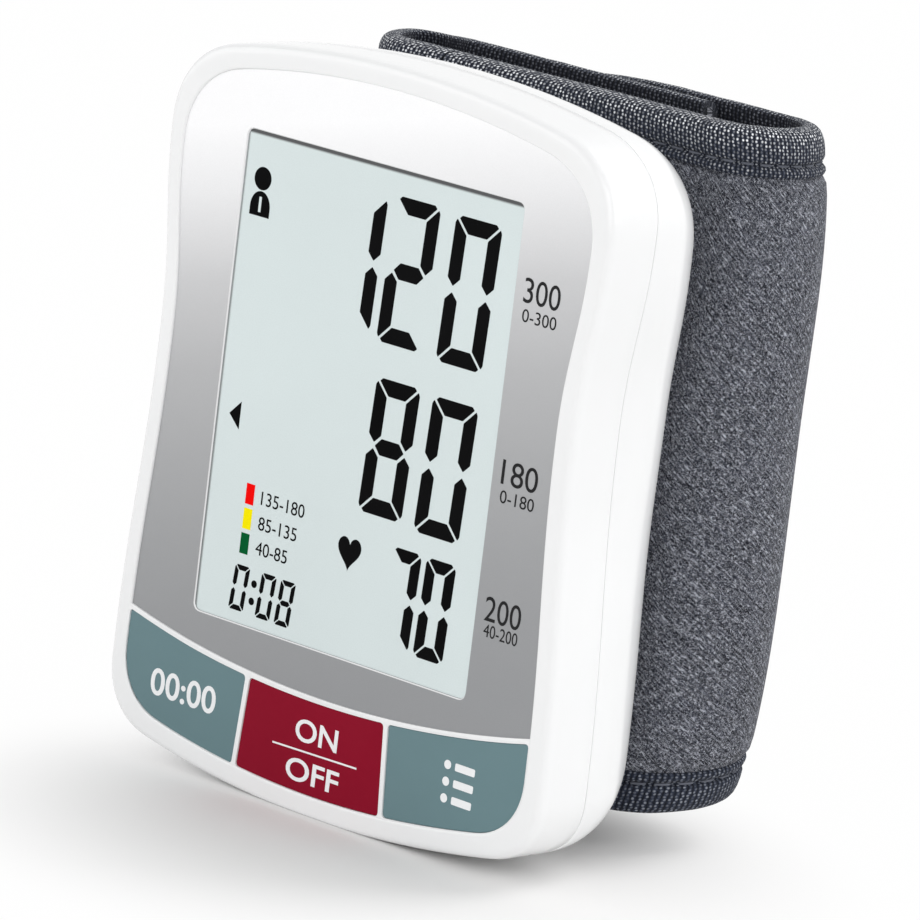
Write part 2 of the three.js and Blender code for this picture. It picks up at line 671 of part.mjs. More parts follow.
function hoseUp(x, y, z0, z1) {
  return roundAlongZ(x, y, HOSE_OUTER, z0, z1, 16).subtract(roundAlongZ(x, y, HOSE_INNER, z0 - 1, z1 + 1, 14));
}

const pumpHose = () => hoseUp(PUMP_X, PUMP_Y, HOSE_TOP - PUMP_HOSE, HOSE_TOP);
const sensorHose = () => hoseUp(SENSOR_X, SENSOR_Y, HOSE_TOP - SENSOR_HOSE, HOSE_TOP);
const valveHose = () => hoseUp(VALVE_X, valveY, HOSE_TOP - VALVE_HOSE, HOSE_TOP);

function cuffHose() {
  const outer = roundAlongY(PORT_X, MANIFOLD_HEIGHT, HOSE_OUTER, PUMP_Y + 2.2, CASE_BACK - WALL - GAP, 16);
  return outer.subtract(roundAlongY(PORT_X, MANIFOLD_HEIGHT, HOSE_INNER, 0, 40, 14));
}

// Batteries

function batteryTray() {
  const front = CELL_Y - CELL_RADIUS - CELL_FIT;
  let tray = box(-CASE_WIDTH / 2, TRAY_RIGHT, SEAM_DEPTH - GAP, CASE_BACK, TRAY_BOTTOM, TRAY_TOP);
  tray = tray.subtract(
    box(-CASE_WIDTH, TRAY_RIGHT - TRAY_WALL, front, 40, TRAY_BOTTOM + TRAY_WALL, TRAY_TOP - TRAY_WALL),
  );
  const room = caseSkin([
    [SEAM_DEPTH - 4, WALL + LIP + 2 * GAP],
    [SEAM_DEPTH, WALL + LIP + 2 * GAP],
    ...backLevels(WALL + LIP + 2 * GAP, SEAM_DEPTH + 0.5, CASE_BACK - WALL - GAP),
  ]);
  return tray.intersect(room);
}

const cellBottom = TRAY_BOTTOM + TRAY_WALL + COIL_ROOM;
const cellTop = TRAY_TOP - TRAY_WALL - COIL_ROOM;

function cell(which) {
  const x = CELL_X[which];
  const up = which === 0;
  const base = up ? cellBottom : cellTop - CELL_BODY;
  const body = roundAlongZ(x, CELL_Y, CELL_RADIUS, base, base + CELL_BODY, 24);
  const nub = up
    ? roundAlongZ(x, CELL_Y, 1.9, base + CELL_BODY - 0.5, base + CELL_BODY + CELL_NUB, 14)
    : roundAlongZ(x, CELL_Y, 1.9, base - CELL_NUB, base + 0.5, 14);
  return body.add(nub);
}

function coilContact(which) {
  const x = CELL_X[which];
  const up = which === 0;
  const foot = up ? TRAY_BOTTOM + TRAY_WALL + 0.5 : TRAY_TOP - TRAY_WALL - 0.5;
  const reach = up ? 2.2 : -2.2;
  const turns = 3;
  const steps = 30;
  const wire = 0.22;
  const rings = [];
  for (let i = 0; i <= steps; i += 1) {
    const angle = (i / steps) * turns * 2 * Math.PI;
    const radius = 3.4 - (1.6 * i) / steps;
    const out = new THREE.Vector3(Math.cos(angle), Math.sin(angle), 0);
    const centre = out.clone().multiplyScalar(radius);
    centre.z = foot + Math.sign(reach) * wire + ((Math.abs(reach) - wire) * Math.sign(reach) * i) / steps;
    const ring = [];
    for (let k = 0; k < 5; k += 1) {
      const turn = (k / 5) * 2 * Math.PI;
      const point = centre.clone().addScaledVector(out, wire * Math.cos(turn));
      point.z += wire * Math.sin(turn);
      ring.push(new THREE.Vector3(x + point.x, CELL_Y + point.y, point.z));
    }
    rings.push(ring);
  }
  return solid(skin(rings));
}

function contactPlate(upper) {
  const left = CELL_X[0] - 3;
  const right = CELL_X[1] + 4;
  const base = upper ? TRAY_TOP - TRAY_WALL - 0.4 : TRAY_BOTTOM + TRAY_WALL;
  return box(left, right, CELL_Y - 4, CELL_Y + 4, base, base + 0.4);
}

// Screws

function caseScrew([x, z]) {
  const seat = screwSeat(z);
  const head = roundAlongY(x, z, SCREW_HEAD, seat, seat + 1.5, 16);
  const shank = roundAlongY(x, z, SCREW_SHANK, bossFront(z) + 1.5, seat + 0.5, 12);
  const slot = box(x - 1.2, x + 1.2, seat + 0.8, seat + 2, z - 0.25, z + 0.25);
  return head.add(shank).subtract(slot);
}

// Cuff: stations run once round the loop. 0 is the outermost point of the right-hand
// bend; 0 to 1 turns to the front, 1 to 2 crosses the front, 2 to 3 turns round the left
// end, 3 to 4 crosses the back, 4 to 5 returns to the start.

const smooth = THREE.MathUtils.smoothstep;

function cuffSize(z) {
  const rise = (z - CUFF_BOTTOM) / (CUFF_TOP - CUFF_BOTTOM);
  const front = CUFF_FRONT + CUFF_TOP_LEAN * smooth(rise, 0.5, 1);
  const rear = CUFF_REAR_BOTTOM + (CUFF_REAR_TOP - CUFF_REAR_BOTTOM) * rise;
  const half = CUFF_HALF - CUFF_DRAW_IN * (2 * rise - 1) ** 4;
  const radius = (rear - front) / 2;
  return { rise, half, radius, middle: (front + rear) / 2, straight: half - radius };
}

function cuffFlat(station, depth, z) {
  const { middle, radius, straight } = cuffSize(z);
  const inner = radius - depth;
  const arc = (x, angle) => new THREE.Vector3(x + inner * Math.cos(angle), middle + inner * Math.sin(angle), z);
  const quarter = Math.PI / 2;
  if (station <= 1) return arc(straight, -quarter * station);
  if (station <= 2) return new THREE.Vector3(straight * (3 - 2 * station), middle - inner, z);
  if (station <= 3) return arc(-straight, -quarter - 2 * quarter * (station - 2));
  if (station <= 4) return new THREE.Vector3(straight * (2 * station - 7), middle + inner, z);
  return arc(straight, quarter * (5 - station));
}

function cuffPoint(station, depth, z) {
  const { rise, half, radius, middle } = cuffSize(z);
  const point = cuffFlat(station, depth, z);
  const outer = cuffFlat(station, 0, z);
  const forward = Math.max(0, middle - outer.y) / radius;
  const back = (middle + radius - outer.y) / (2 * radius);
  point.y -= CUFF_HUG * (1 - rise) * forward * smooth(Math.abs(outer.x), 0.55 * half, half);
  point.z -= CUFF_DROP * (1 - rise) * back;
  return point;
}

const hem = TAPE + LAYER_GAP;
const plyLevels = [CUFF_BOTTOM + hem, CUFF_BOTTOM + TAPE_HEIGHT];
for (let i = 1; i < 4; i += 1) {
  plyLevels.push(THREE.MathUtils.lerp(CUFF_BOTTOM + TAPE_HEIGHT, CUFF_TOP - TAPE_HEIGHT, i / 4));
}
plyLevels.push(CUFF_TOP - TAPE_HEIGHT, CUFF_TOP - hem);
const padLevels = plyLevels.slice(1, -1);

const tuck = (station) => LAP * smooth(station, 1.9, 2.45);
const TAB_END = 3.62;
const STRAP_END = 2.54;
const fixedStations = [
  ...[0.01, 0.2, 0.4, 0.6, 0.8, 1, 1.25, 1.5, 1.75],
  ...[1.9, 2, 2.1, 2.2, 2.3, 2.4, 2.5, 2.6, 2.7, 2.8, 2.9, 3, 3.2, 3.4, TAB_END],
];
const strapStations = [
  ...[4.985, 4.8, 4.6, 4.4, 4.2, 4, 3.75, 3.5, 3.3],
  ...[3.1, 3, 2.9, 2.8, 2.7, 2.6, STRAP_END],
];

// One ply of the cuff between two depths, as a closed sheet
function ply(stations, from, to, heights = plyLevels) {
  const rings = stations.map((s) => [
    ...heights.map((z) => cuffPoint(s, from(s), z)),
    ...heights.slice().reverse().map((z) => cuffPoint(s, to(s), z)),
  ]);
  const count = rings[0].length;
  const half = heights.length;
  const points = rings.flat();
  const faces = [];
  for (let r = 0; r < rings.length - 1; r += 1) {
    for (let i = 0; i < count; i += 1) {
      const j = (i + 1) % count;
      const [a, b] = [r * count + i, r * count + j];
      faces.push(a, b, b + count, a, b + count, a + count);
    }
  }
  for (let i = 0; i < half - 1; i += 1) {
    const end = (rings.length - 1) * count;
    const [a, b, c, d] = [i, i + 1, count - 2 - i, count - 1 - i];
    faces.push(a, c, b, a, d, c);
    faces.push(end + a, end + b, end + c, end + a, end + c, end + d);
  }
  const geometry = new THREE.BufferGeometry();
  geometry.setAttribute('position', new THREE.Float32BufferAttribute(points.flatMap((p) => [p.x, p.y, p.z]), 3));
  geometry.setIndex(faces);
  return solid(facedOut(geometry));
}

// Tape folded over a hem: an outer leg, a web past the edge and an inner leg
function tape(stations, from, to, edge, inward) {
  const rings = stations.map((s) => {
    const outer = from(s) - LAYER_GAP;
    const inner = to(s) + LAYER_GAP;
    const lap = edge + inward * TAPE_HEIGHT;
    const web = edge + inward * TAPE;
    return [
      cuffPoint(s, outer - TAPE, lap),
      cuffPoint(s, outer - TAPE, edge),
      cuffPoint(s, inner + TAPE, edge),
      cuffPoint(s, inner + TAPE, lap),
      cuffPoint(s, inner, lap),
      cuffPoint(s, inner, web),
      cuffPoint(s, outer, web),
      cuffPoint(s, outer, lap),
    ];
  });
  return solid(skin(rings));
}

const stiffenerFrom = FELT + LAYER_GAP;
const bladderFrom = stiffenerFrom + STIFFENER + LAYER_GAP;
const liningFrom = bladderFrom + BLADDER + LAYER_GAP;
const thinLining = FELT + LAYER_GAP;
const liningDepth = (s) => tuck(s) + THREE.MathUtils.lerp(liningFrom, thinLining, smooth(s, 2.15, 2.9));
const fixedInside = (s) => liningDepth(s) + LINING;
const strapInside = () => thinLining + LINING;
const padStations = fixedStations.filter((s) => s >= 0.4 && s <= 2.1);

function pad(from, thick) {
  const face = (s) => tuck(s) + from;
  return ply(padStations, face, (s) => face(s) + thick, padLevels).subtract(airWay());
}

const cuffCover = () => ply(fixedStations, tuck, (s) => tuck(s) + FELT).subtract(airWay());
const cuffStiffener = () => pad(stiffenerFrom, STIFFENER);
const cuffBladder = () => pad(bladderFrom, BLADDER);
const cuffLining = () => ply(fixedStations, liningDepth, fixedInside);
const strapCover = () => ply(strapStations, () => 0, () => FELT);
const strapLining = () => ply(strapStations, () => thinLining, strapInside);

function hookPatch() {
  const stations = [3.5, 3.4, 3.3, 3.2];
  const from = strapInside() + LAYER_GAP;
  return ply(stations, () => from, () => from + HOOK, padLevels);
}

function bladderNozzle() {
  const inlet = CASE_BACK - WALL - GAP;
  const { middle, radius } = cuffSize(MANIFOLD_HEIGHT);
  const end = middle - radius + bladderFrom + BLADDER / 2;
  const stem = roundAlongY(PORT_X, MANIFOLD_HEIGHT, NOZZLE + 0.5, inlet + GAP, end, 16);
  const spigot = roundAlongY(PORT_X, MANIFOLD_HEIGHT, NOZZLE, inlet - 1.6, inlet + 1, 14);
  return stem.add(spigot).subtract(roundAlongY(PORT_X, MANIFOLD_HEIGHT, NOZZLE - 0.4, 0, 60, 12));
}

function cuffPlate() {
  let plate = box(-PLATE.half, PLATE.half, CASE_BACK, CASE_BACK + PLATE_THICK, PLATE.bottom, PLATE.top);
  plate = plate.subtract(airWay());
  for (const [x, z] of PLATE_SCREWS) {
    plate = plate.subtract(roundAlongY(x, z, SCREW_SHANK + 0.2, 0, 40, 12));
    plate = plate.subtract(roundAlongY(x, z, SCREW_HEAD + 0.2, CASE_BACK + 0.5, 40, 16));
  }
  return plate;
}

function plateScrew([x, z]) {
  const head = roundAlongY(x, z, SCREW_HEAD, CASE_BACK + 0.5, CASE_BACK + PLATE_THICK, 16);
  return head.add(roundAlongY(x, z, SCREW_SHANK, CASE_BACK - WALL - 1, CASE_BACK + 1, 12));
}

// Assembly

const pieces = [
  ['front_case', 'white', frontCase()],
  ['rear_case', 'white', rearCase()],
  ['battery_cover', 'white', batteryCover()],
  ['face_panel', 'panel', facePanel()],
  ['display_window', 'clear', displayWindow()],
  ['display_glass', 'display', displayGlass()],
  ['display_frame', 'frame', displayFrame()],
  ['contact_strip', 'rubber', contactStrip()],
  ['set_button', 'grey_key', keyCap(-1)],
  ['start_button', 'red_key', keyCap(0)],
  ['memory_button', 'grey_key', keyCap(1)],
  ['set_switch', 'black', switchBody(-1)],
  ['start_switch', 'black', switchBody(0)],
  ['memory_switch', 'black', switchBody(1)],
  ['set_plunger', 'frame', switchPlunger(-1)],
  ['start_plunger', 'frame', switchPlunger(0)],
  ['memory_plunger', 'frame', switchPlunger(1)],
  ['main_board', 'board', mainBoard()],
  ['main_chip', 'black', mainChip()],
  ['buzzer', 'black', buzzer()],
  ['pump_motor', 'steel', pumpMotor()],
  ['pump_head', 'black', pumpHead()],
  ['pump_crank', 'steel', pumpCrank()],
  ['exhaust_valve', 'black', exhaustValve()],
  ['valve_plunger', 'steel', valvePlunger()],
  ['pressure_sensor', 'frame', pressureSensor()],
  ['air_manifold', 'frame', airManifold()],
  ['pump_hose', 'silicone', pumpHose()],
  ['sensor_hose', 'silicone', sensorHose()],
  ['valve_hose', 'silicone', valveHose()],
  ['cuff_hose', 'silicone', cuffHose()],
  ['battery_tray', 'frame', batteryTray()],
  ['cell_1', 'cell', cell(0)],
  ['cell_2', 'cell', cell(1)],
  ['coil_contact_1', 'steel', coilContact(0)],
  ['coil_contact_2', 'steel', coilContact(1)],
  ['lower_contact_plate', 'steel', contactPlate(false)],
  ['upper_contact_plate', 'steel', contactPlate(true)],
  ...SCREW_PLACES.map((place, i) => [`case_screw_${i + 1}`, 'steel', caseScrew(place)]),
  ['cuff_plate', 'frame', cuffPlate()],
  ...PLATE_SCREWS.map((place, i) => [`plate_screw_${i + 1}`, 'steel', plateScrew(place)]),
  ['bladder_nozzle', 'silicone', bladderNozzle()],
  ['cuff_cover', 'felt', cuffCover()],
  ['cuff_stiffener', 'frame', cuffStiffener()],
  ['cuff_bladder', 'bladder', cuffBladder()],
  ['cuff_lining', 'lining', cuffLining()],
  ['cuff_top_binding', 'tape', tape(fixedStations, tuck, fixedInside, CUFF_TOP, -1)],
  ['cuff_bottom_binding', 'tape', tape(fixedStations, tuck, fixedInside, CUFF_BOTTOM, 1)],
  ['strap_cover', 'felt', strapCover()],
  ['strap_lining', 'lining', strapLining()],
  ['strap_top_binding', 'tape', tape(strapStations, () => 0, strapInside, CUFF_TOP, -1)],
  ['strap_bottom_binding', 'tape', tape(strapStations, () => 0, strapInside, CUFF_BOTTOM, 1)],
  ['hook_patch', 'hook', hookPatch()],
];

const monitor = new THREE.Group();
monitor.name = 'wrist_blood_pressure_monitor';
for (const [name, look, body] of pieces) {
  const mesh = new THREE.Mesh(surface(body), materials[look]);
  mesh.name = name;
  monitor.add(mesh);
}

// The ground flat stands at Z = 0, with the part's box centred over the origin.
const reach = new THREE.Box3().setFromObject(monitor, true);
const centre = reach.getCenter(new THREE.Vector3());
monitor.position.set(-centre.x, -centre.y, -reach.min.z);

export default monitor;
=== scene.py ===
"""Looks of the wrist blood pressure monitor: shells, display, keys and felt cuff.

Sizes are in millimetres in the case's own drawing frame (X = 0 on the middle of the
case, Y = 0 on the front of the face panel, Z = 0 under the case). Datum.at turns them
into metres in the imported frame.
"""

import logging
import math
from collections.abc import Sequence
from dataclasses import dataclass
from enum import Enum

import bmesh
import bpy
from mathutils import Matrix, Vector, noise


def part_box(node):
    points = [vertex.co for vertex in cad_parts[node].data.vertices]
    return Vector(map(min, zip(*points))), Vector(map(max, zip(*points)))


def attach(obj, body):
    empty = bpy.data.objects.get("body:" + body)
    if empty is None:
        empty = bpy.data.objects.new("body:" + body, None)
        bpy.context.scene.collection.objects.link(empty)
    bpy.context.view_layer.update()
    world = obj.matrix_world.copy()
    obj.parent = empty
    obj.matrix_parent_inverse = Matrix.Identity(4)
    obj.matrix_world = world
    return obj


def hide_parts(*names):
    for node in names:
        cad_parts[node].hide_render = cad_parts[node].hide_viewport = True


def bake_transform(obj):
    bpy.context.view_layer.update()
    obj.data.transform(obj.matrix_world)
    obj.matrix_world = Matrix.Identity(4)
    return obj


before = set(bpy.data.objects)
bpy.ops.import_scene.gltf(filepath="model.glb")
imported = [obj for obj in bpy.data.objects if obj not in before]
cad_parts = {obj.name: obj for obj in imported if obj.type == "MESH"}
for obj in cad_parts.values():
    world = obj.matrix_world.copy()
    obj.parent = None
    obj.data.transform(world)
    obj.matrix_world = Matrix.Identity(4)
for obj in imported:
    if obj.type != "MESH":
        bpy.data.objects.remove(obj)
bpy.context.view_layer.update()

LOG = logging.getLogger("wrist_monitor")
MM = 0.001
Point = tuple[float, float]
Triple = tuple[float, float, float]
Colour = Triple
Object = bpy.types.Object
Material = bpy.types.Material
Socket = bpy.types.NodeSocket
MAP_MM: Triple = (1000, 1000, 1000)


def smooth(value: float, low: float, high: float) -> float:
    """Smoothstep of a value between two limits.

    Args:
        value: the value to ease.
        low: where the result is 0.
        high: where the result is 1.

    Returns:
        The eased share from 0 to 1.
    """
    share = min(1.0, max(0.0, (value - low) / (high - low)))
    return share * share * (3 - 2 * share)


def mix(start: float, end: float, share: float) -> float:
    """The value that lies a share of the way from start to end."""
    return start + (end - start) * share


def spread(start: float, end: float, count: int) -> list[float]:
    """Even steps from start to end, both of them included."""
    return [mix(start, end, i / count) for i in range(count + 1)]


def cubic(a: Point, b: Point, c: Point, d: Point, steps: int) -> list[Point]:
    """Points on a cubic curve, without its last one.

    Args:
        a: start of the curve.
        b: its first handle.
        c: its second handle.
        d: its end.
        steps: how many points to give.

    Returns:
        The points, from the start on.
    """
    points = []
    for i in range(steps):
        t = i / steps
        w = ((1 - t) ** 3, 3 * t * (1 - t) ** 2, 3 * t * t * (1 - t), t ** 3)
        points.append(tuple(sum(k * p[n] for k, p in zip(w, (a, b, c, d))) for n in (0, 1)))
    return points


def rounded(points: Sequence[Point], radius: float, sharp: float = 35.0, steps: int = 7) -> list[Point]:
    """Rounds the sharp corners of a closed outline.

    Args:
        points: the outline.
        radius: how far along the outline each rounding starts.
        sharp: a turn of more degrees than this is a corner.
        steps: points in each rounding.

    Returns:
        The outline with rounded corners.
    """
    ring = [Vector(p) for p in points]
    count = len(ring)
    corners = []
    for i, here in enumerate(ring):
        before, after = here - ring[i - 1], ring[(i + 1) % count] - here
        if before.length > 1e-6 and after.length > 1e-6 and math.degrees(before.angle(after)) > sharp:
            corners.append(i)

    def walk(index: int, step: int) -> tuple[int, Vector]:
        """Goes along the outline from a corner until the rounding starts.

        Args:
            index: number of the corner.
            step: 1 to go on, -1 to go back.

        Returns:
            Number of the first point that stays, and where the rounding starts.
        """
        left, here = radius, ring[index]
        while True:
            index = (index + step) % count
            reach = (ring[index] - here).length
            if reach > left:
                return index, here + (ring[index] - here) * (left / reach)
            left, here = left - reach, ring[index]

    skipped: set[int] = set()
    arcs: dict[int, list[Point]] = {}
    for i in corners:
        first, start = walk(i, -1)
        last, end = walk(i, 1)
        k = (first + 1) % count
        while k != last:
            skipped.add(k)
            k = (k + 1) % count
        arc = []
        for n in range(steps + 1):
            t = n / steps
            p = start * (1 - t) ** 2 + ring[i] * (2 * t * (1 - t)) + end * t * t
            arc.append((p.x, p.y))
        arcs[i] = arc
    result: list[Point] = []
    for i, p in enumerate(ring):
        if i in arcs:
            result += arcs[i]
        elif i not in skipped:
            result.append((p.x, p.y))
    return result


def rounded_box(half_x: float, low: float, high: float, corner: float) -> list[Point]:
    """Outline of an upright rectangle with rounded corners, centred on X = 0."""
    return rounded([(-half_x, low), (half_x, low), (half_x, high), (-half_x, high)], corner)


def rounded_box_at(x: float, z: float, width: float, height: float, corner: float) -> list[Point]:
    """Outline of a small rounded bar about a point."""
    return [(x + px, z + pz) for px, pz in rounded_box(width / 2, -height / 2, height / 2, corner)]


def circle(x: float, z: float, radius: float, count: int) -> list[Point]:
    """Points round a circle."""
    turns = (2 * math.pi * i / count for i in range(count))
    return [(x + radius * math.cos(a), z + radius * math.sin(a)) for a in turns]


@dataclass(frozen=True)
class Datum:
    """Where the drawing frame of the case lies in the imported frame, in metres."""

    face: float
    foot: float

    def at(self, x: float, y: float, z: float) -> Vector:
        """A place of the drawing frame, as a point in metres."""
        return Vector((x * MM, self.face + y * MM, self.foot + z * MM))


@dataclass(frozen=True)
class CaseSizes:
    """Outline of the case seen from the front, and where its parts lie."""

    width: float = 66.6
    height: float = 83.4
    waist: float = 1.8
    waist_height: float = 50.0
    top_radius: float = 133.0
    bottom_radius: float = 138.0
    top_corner: Point = (8.5, 9.5)
    bottom_corner: Point = (6.5, 7.5)
    wall: float = 1.8
    rim: float = 2.6
    left_in: float = 0.8
    seam: float = 7.0
    seam_gap: float = 0.03
    back: float = 21.5
    back_round: float = 13.0
    foot_flat: float = 0.3
    key_line: float = 13.0
    key_radius: float = 138.0
    key_split: Point = (11.35, 0.8 / 13)
    key_shift: float = -0.5
    shift_span: Point = (13, 28)
    key_foot: Point = (1.5, 1.8)
    key_top: float = 13.2
    panel_lift: float = 0.52

    def half_outline(self) -> list[Point]:
        """Right-hand half of the outline.

        Returns:
            Its points, from the bottom middle to the top middle.
        """
        half, pull, rise, steps = self.width / 2, 0.56, 0.42, 22
        bx, bz = self.bottom_corner
        tx, tz = self.top_corner
        low = math.asin((half - bx) / self.bottom_radius)
        high = math.asin((half - tx) / self.top_radius)
        low_end = (half - bx, self.bottom_radius * (1 - math.cos(low)))
        high_end = (half - tx, self.height - self.top_radius * (1 - math.cos(high)))
        side_low, side_high = (half, low_end[1] + bz), (half, high_end[1] - tz)
        waist = (half - self.waist, self.waist_height)
        run_low, run_high = waist[1] - side_low[1], side_high[1] - waist[1]
        points = []
        for i in range(steps):
            turn = low * i / steps
            points.append((self.bottom_radius * math.sin(turn), self.bottom_radius * (1 - math.cos(turn))))
        points += cubic(low_end, (low_end[0] + pull * bx, low_end[1] + pull * bx * math.tan(low)),
                        (half, side_low[1] - pull * bz), side_low, 14)
        points += cubic(side_low, (half, side_low[1] + rise * run_low),
                        (waist[0], waist[1] - rise * run_low), waist, 16)
        points += cubic(waist, (waist[0], waist[1] + rise * run_high),
                        (half, side_high[1] - rise * run_high), side_high, 14)
        points += cubic(side_high, (half, side_high[1] + pull * tz),
                        (high_end[0] + pull * tx, high_end[1] - pull * tx * math.tan(high)), high_end, 16)
        for i in range(steps + 1):
            turn = high * (1 - i / steps)
            drop = self.top_radius * (1 - math.cos(turn))
            points.append((self.top_radius * math.sin(turn), self.height - drop))
        return points

    def outline(self, inset: float = 0.0) -> list[Point]:
        """The whole outline, scaled in by an inset about the middle of the case.

        Args:
            inset: how far the sides come in.

        Returns:
            The outline from the bottom middle, round the right-hand side first.
        """
        half = self.half_outline()
        whole = half + [(-x, z) for x, z in reversed(half[1:-1])]
        sx, sz = self.scale(inset)
        middle = self.height / 2
        return [(x * sx, middle + (z - middle) * sz) for x, z in whole]

    def scale(self, inset: float) -> Point:
        """The scale in X and Z that brings the outline in by an inset."""
        return 1 - 2 * inset / self.width, 1 - 2 * inset / self.height

    def squeeze(self, x: float) -> float:
        """Place across the case, where its left-hand side lies a little nearer to the display."""
        inner, outer = -FacePanel.window[0], -self.width / 2
        return x if x > inner else x + self.left_in * (x - inner) / (outer - inner)

    def nudge(self, x: float) -> float:
        """Place across the keys, where the middle key lies a little to the left."""
        return x + self.key_shift * (1 - smooth(abs(x), *self.shift_span))

    def arch(self, x: float, lift: float) -> float:
        """Height of the curved line over the keys."""
        return self.key_line + lift + self.key_radius - math.sqrt(self.key_radius ** 2 - x * x)

    def arch_line(self, start: float, end: float, lift: float, count: int) -> list[Point]:
        """Points on the curved line over the keys, from one place across to another."""
        return [(x, self.arch(x, lift)) for x in spread(start, end, count)]

    def split(self, z: float) -> float:
        """Distance of the line between two keys from the middle of the case."""
        return self.key_split[0] - self.key_split[1] * z


CASE = CaseSizes()
DATUM = Datum(face=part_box("face_panel")[0][1], foot=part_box("front_case")[1][2] - CASE.height * MM)


class Bench:
    """Short calls for the operators that every piece is modelled with."""

    @staticmethod
    def clear() -> None:
        """Leaves edit mode and deselects every object."""
        if bpy.context.object is not None and bpy.context.object.mode != "OBJECT":
            bpy.ops.object.mode_set(mode="OBJECT")
        bpy.ops.object.select_all(action="DESELECT")

    @staticmethod
    def use(obj: Object, *others: Object) -> None:
        """Selects objects and makes the first one active.

        Args:
            obj: the object to make active.
            others: further objects to select.
        """
        Bench.clear()
        for each in (obj, *others):
            each.select_set(True)
        bpy.context.view_layer.objects.active = obj

    @staticmethod
    def edit(obj: Object, everything: bool = True) -> None:
        """Opens an object in edit mode.

        Args:
            obj: the mesh object.
            everything: whether all of it is selected, or nothing.
        """
        Bench.use(obj)
        bpy.ops.object.mode_set(mode="EDIT")
        bpy.ops.mesh.select_mode(type="VERT")
        bpy.ops.mesh.select_all(action="SELECT" if everything else "DESELECT")

    @staticmethod
    def done() -> None:
        """Goes back to object mode."""
        bpy.ops.object.mode_set(mode="OBJECT")

    @staticmethod
    def named(name: str) -> Object:
        """Names the object that was just added.

        Args:
            name: its name, given to its mesh too.

        Returns:
            The object.
        """
        obj = bpy.context.object
        obj.name = obj.data.name = name
        return obj

    @staticmethod
    def ring(name: str, points: Sequence[Vector], filled: bool = False) -> Object:
        """Adds a circle and moves its corners onto points.

        Args:
            name: name of the new object.
            points: places of the corners, in order.
            filled: whether the circle gets a face.

        Returns:
            The new object.
        """
        Bench.clear()
        bpy.ops.mesh.primitive_circle_add(
            vertices=len(points), radius=MM, fill_type="NGON" if filled else "NOTHING", location=(0, 0, 0))
        obj = Bench.named(name)
        for vertex, point in zip(obj.data.vertices, points):
            vertex.co = point
        return obj

    @staticmethod
    def tidy(obj: Object, merge: float = 0.0, fill: bool = False) -> Object:
        """Merges doubles, closes holes and turns all faces outwards.

        Args:
            obj: the mesh object.
            merge: distance in metres for merging, none when 0.
            fill: whether open rims get a face.

        Returns:
            The same object.
        """
        Bench.edit(obj)
        if merge:
            bpy.ops.mesh.remove_doubles(threshold=merge)
        if fill:
            bpy.ops.mesh.fill_holes(sides=0)
            bpy.ops.mesh.select_all(action="SELECT")
        bpy.ops.mesh.normals_make_consistent(inside=False)
        Bench.done()
        return obj

    @staticmethod
    def loft(name: str, levels: Sequence[Point], closed: bool) -> Object:
        """Runs the case outline through levels by extruding and scaling it.

        Args:
            name: name of the new object.
            levels: depth and inset of each level.
            closed: whether the last level meets the first; else the ends get a face.

        Returns:
            The new object.
        """
        depth, inset = levels[0]
        obj = Bench.ring(name, [DATUM.at(x, depth, z) for x, z in CASE.outline(inset)])
        Bench.edit(obj)
        for next_depth, next_inset in levels[1:]:
            bpy.ops.mesh.extrude_region_move(
                TRANSFORM_OT_translate={"value": (0, (next_depth - depth) * MM, 0)})
            (sx, sz), (nx, nz) = CASE.scale(inset), CASE.scale(next_inset)
            if inset != next_inset:
                bpy.ops.transform.resize(
                    value=(nx / sx, 1, nz / sz), center_override=DATUM.at(0, next_depth, CASE.height / 2))
            depth, inset = next_depth, next_inset
        Bench.done()
        return Bench.tidy(obj, merge=1e-6 if closed else 0.0, fill=not closed)

    @staticmethod
    def prism(name: str, points: Sequence[Point], near: float, far: float,
              bevel: float = 0.0, segments: int = 3) -> Object:
        """A plate of any outline, with its front edge rounded.

        Args:
            name: name of the new object.
            points: outline in X and Z.
            near: depth of its front.
            far: depth of its back.
            bevel: size of the rounding of the front edge.
            segments: steps of the rounding.

        Returns:
            The new object.
        """
        ring = [DATUM.at(x, far, z) for x, z in points]
        return Bench.plate(name, ring, (0, (near - far) * MM, 0), bevel, segments)

    @staticmethod
    def plate(name: str, ring: Sequence[Vector], shift: Triple,
              bevel: float = 0.0, segments: int = 3) -> Object:
        """A filled ring pushed out to a plate.

        Args:
            name: name of the new object.
            ring: corners of its first face.
            shift: way to its other face, in metres.
            bevel: size of the rounding of that face's edge.
            segments: steps of the rounding.

        Returns:
            The new object.
        """
        obj = Bench.ring(name, ring, filled=True)
        Bench.edit(obj)
        bpy.ops.mesh.extrude_region_move(TRANSFORM_OT_translate={"value": shift})
        if bevel:
            bpy.ops.mesh.bevel(offset=bevel * MM, segments=segments, affect="EDGES")
        Bench.done()
        return Bench.tidy(obj)

    @staticmethod
    def stand(obj: Object) -> None:
        """Flattens what lies below the foot of the case.

        Args:
            obj: the shell to flatten.
        """
        foot = DATUM.at(0, 0, CASE.foot_flat).z
        for vertex in obj.data.vertices:
            vertex.co.z = max(vertex.co.z, foot)

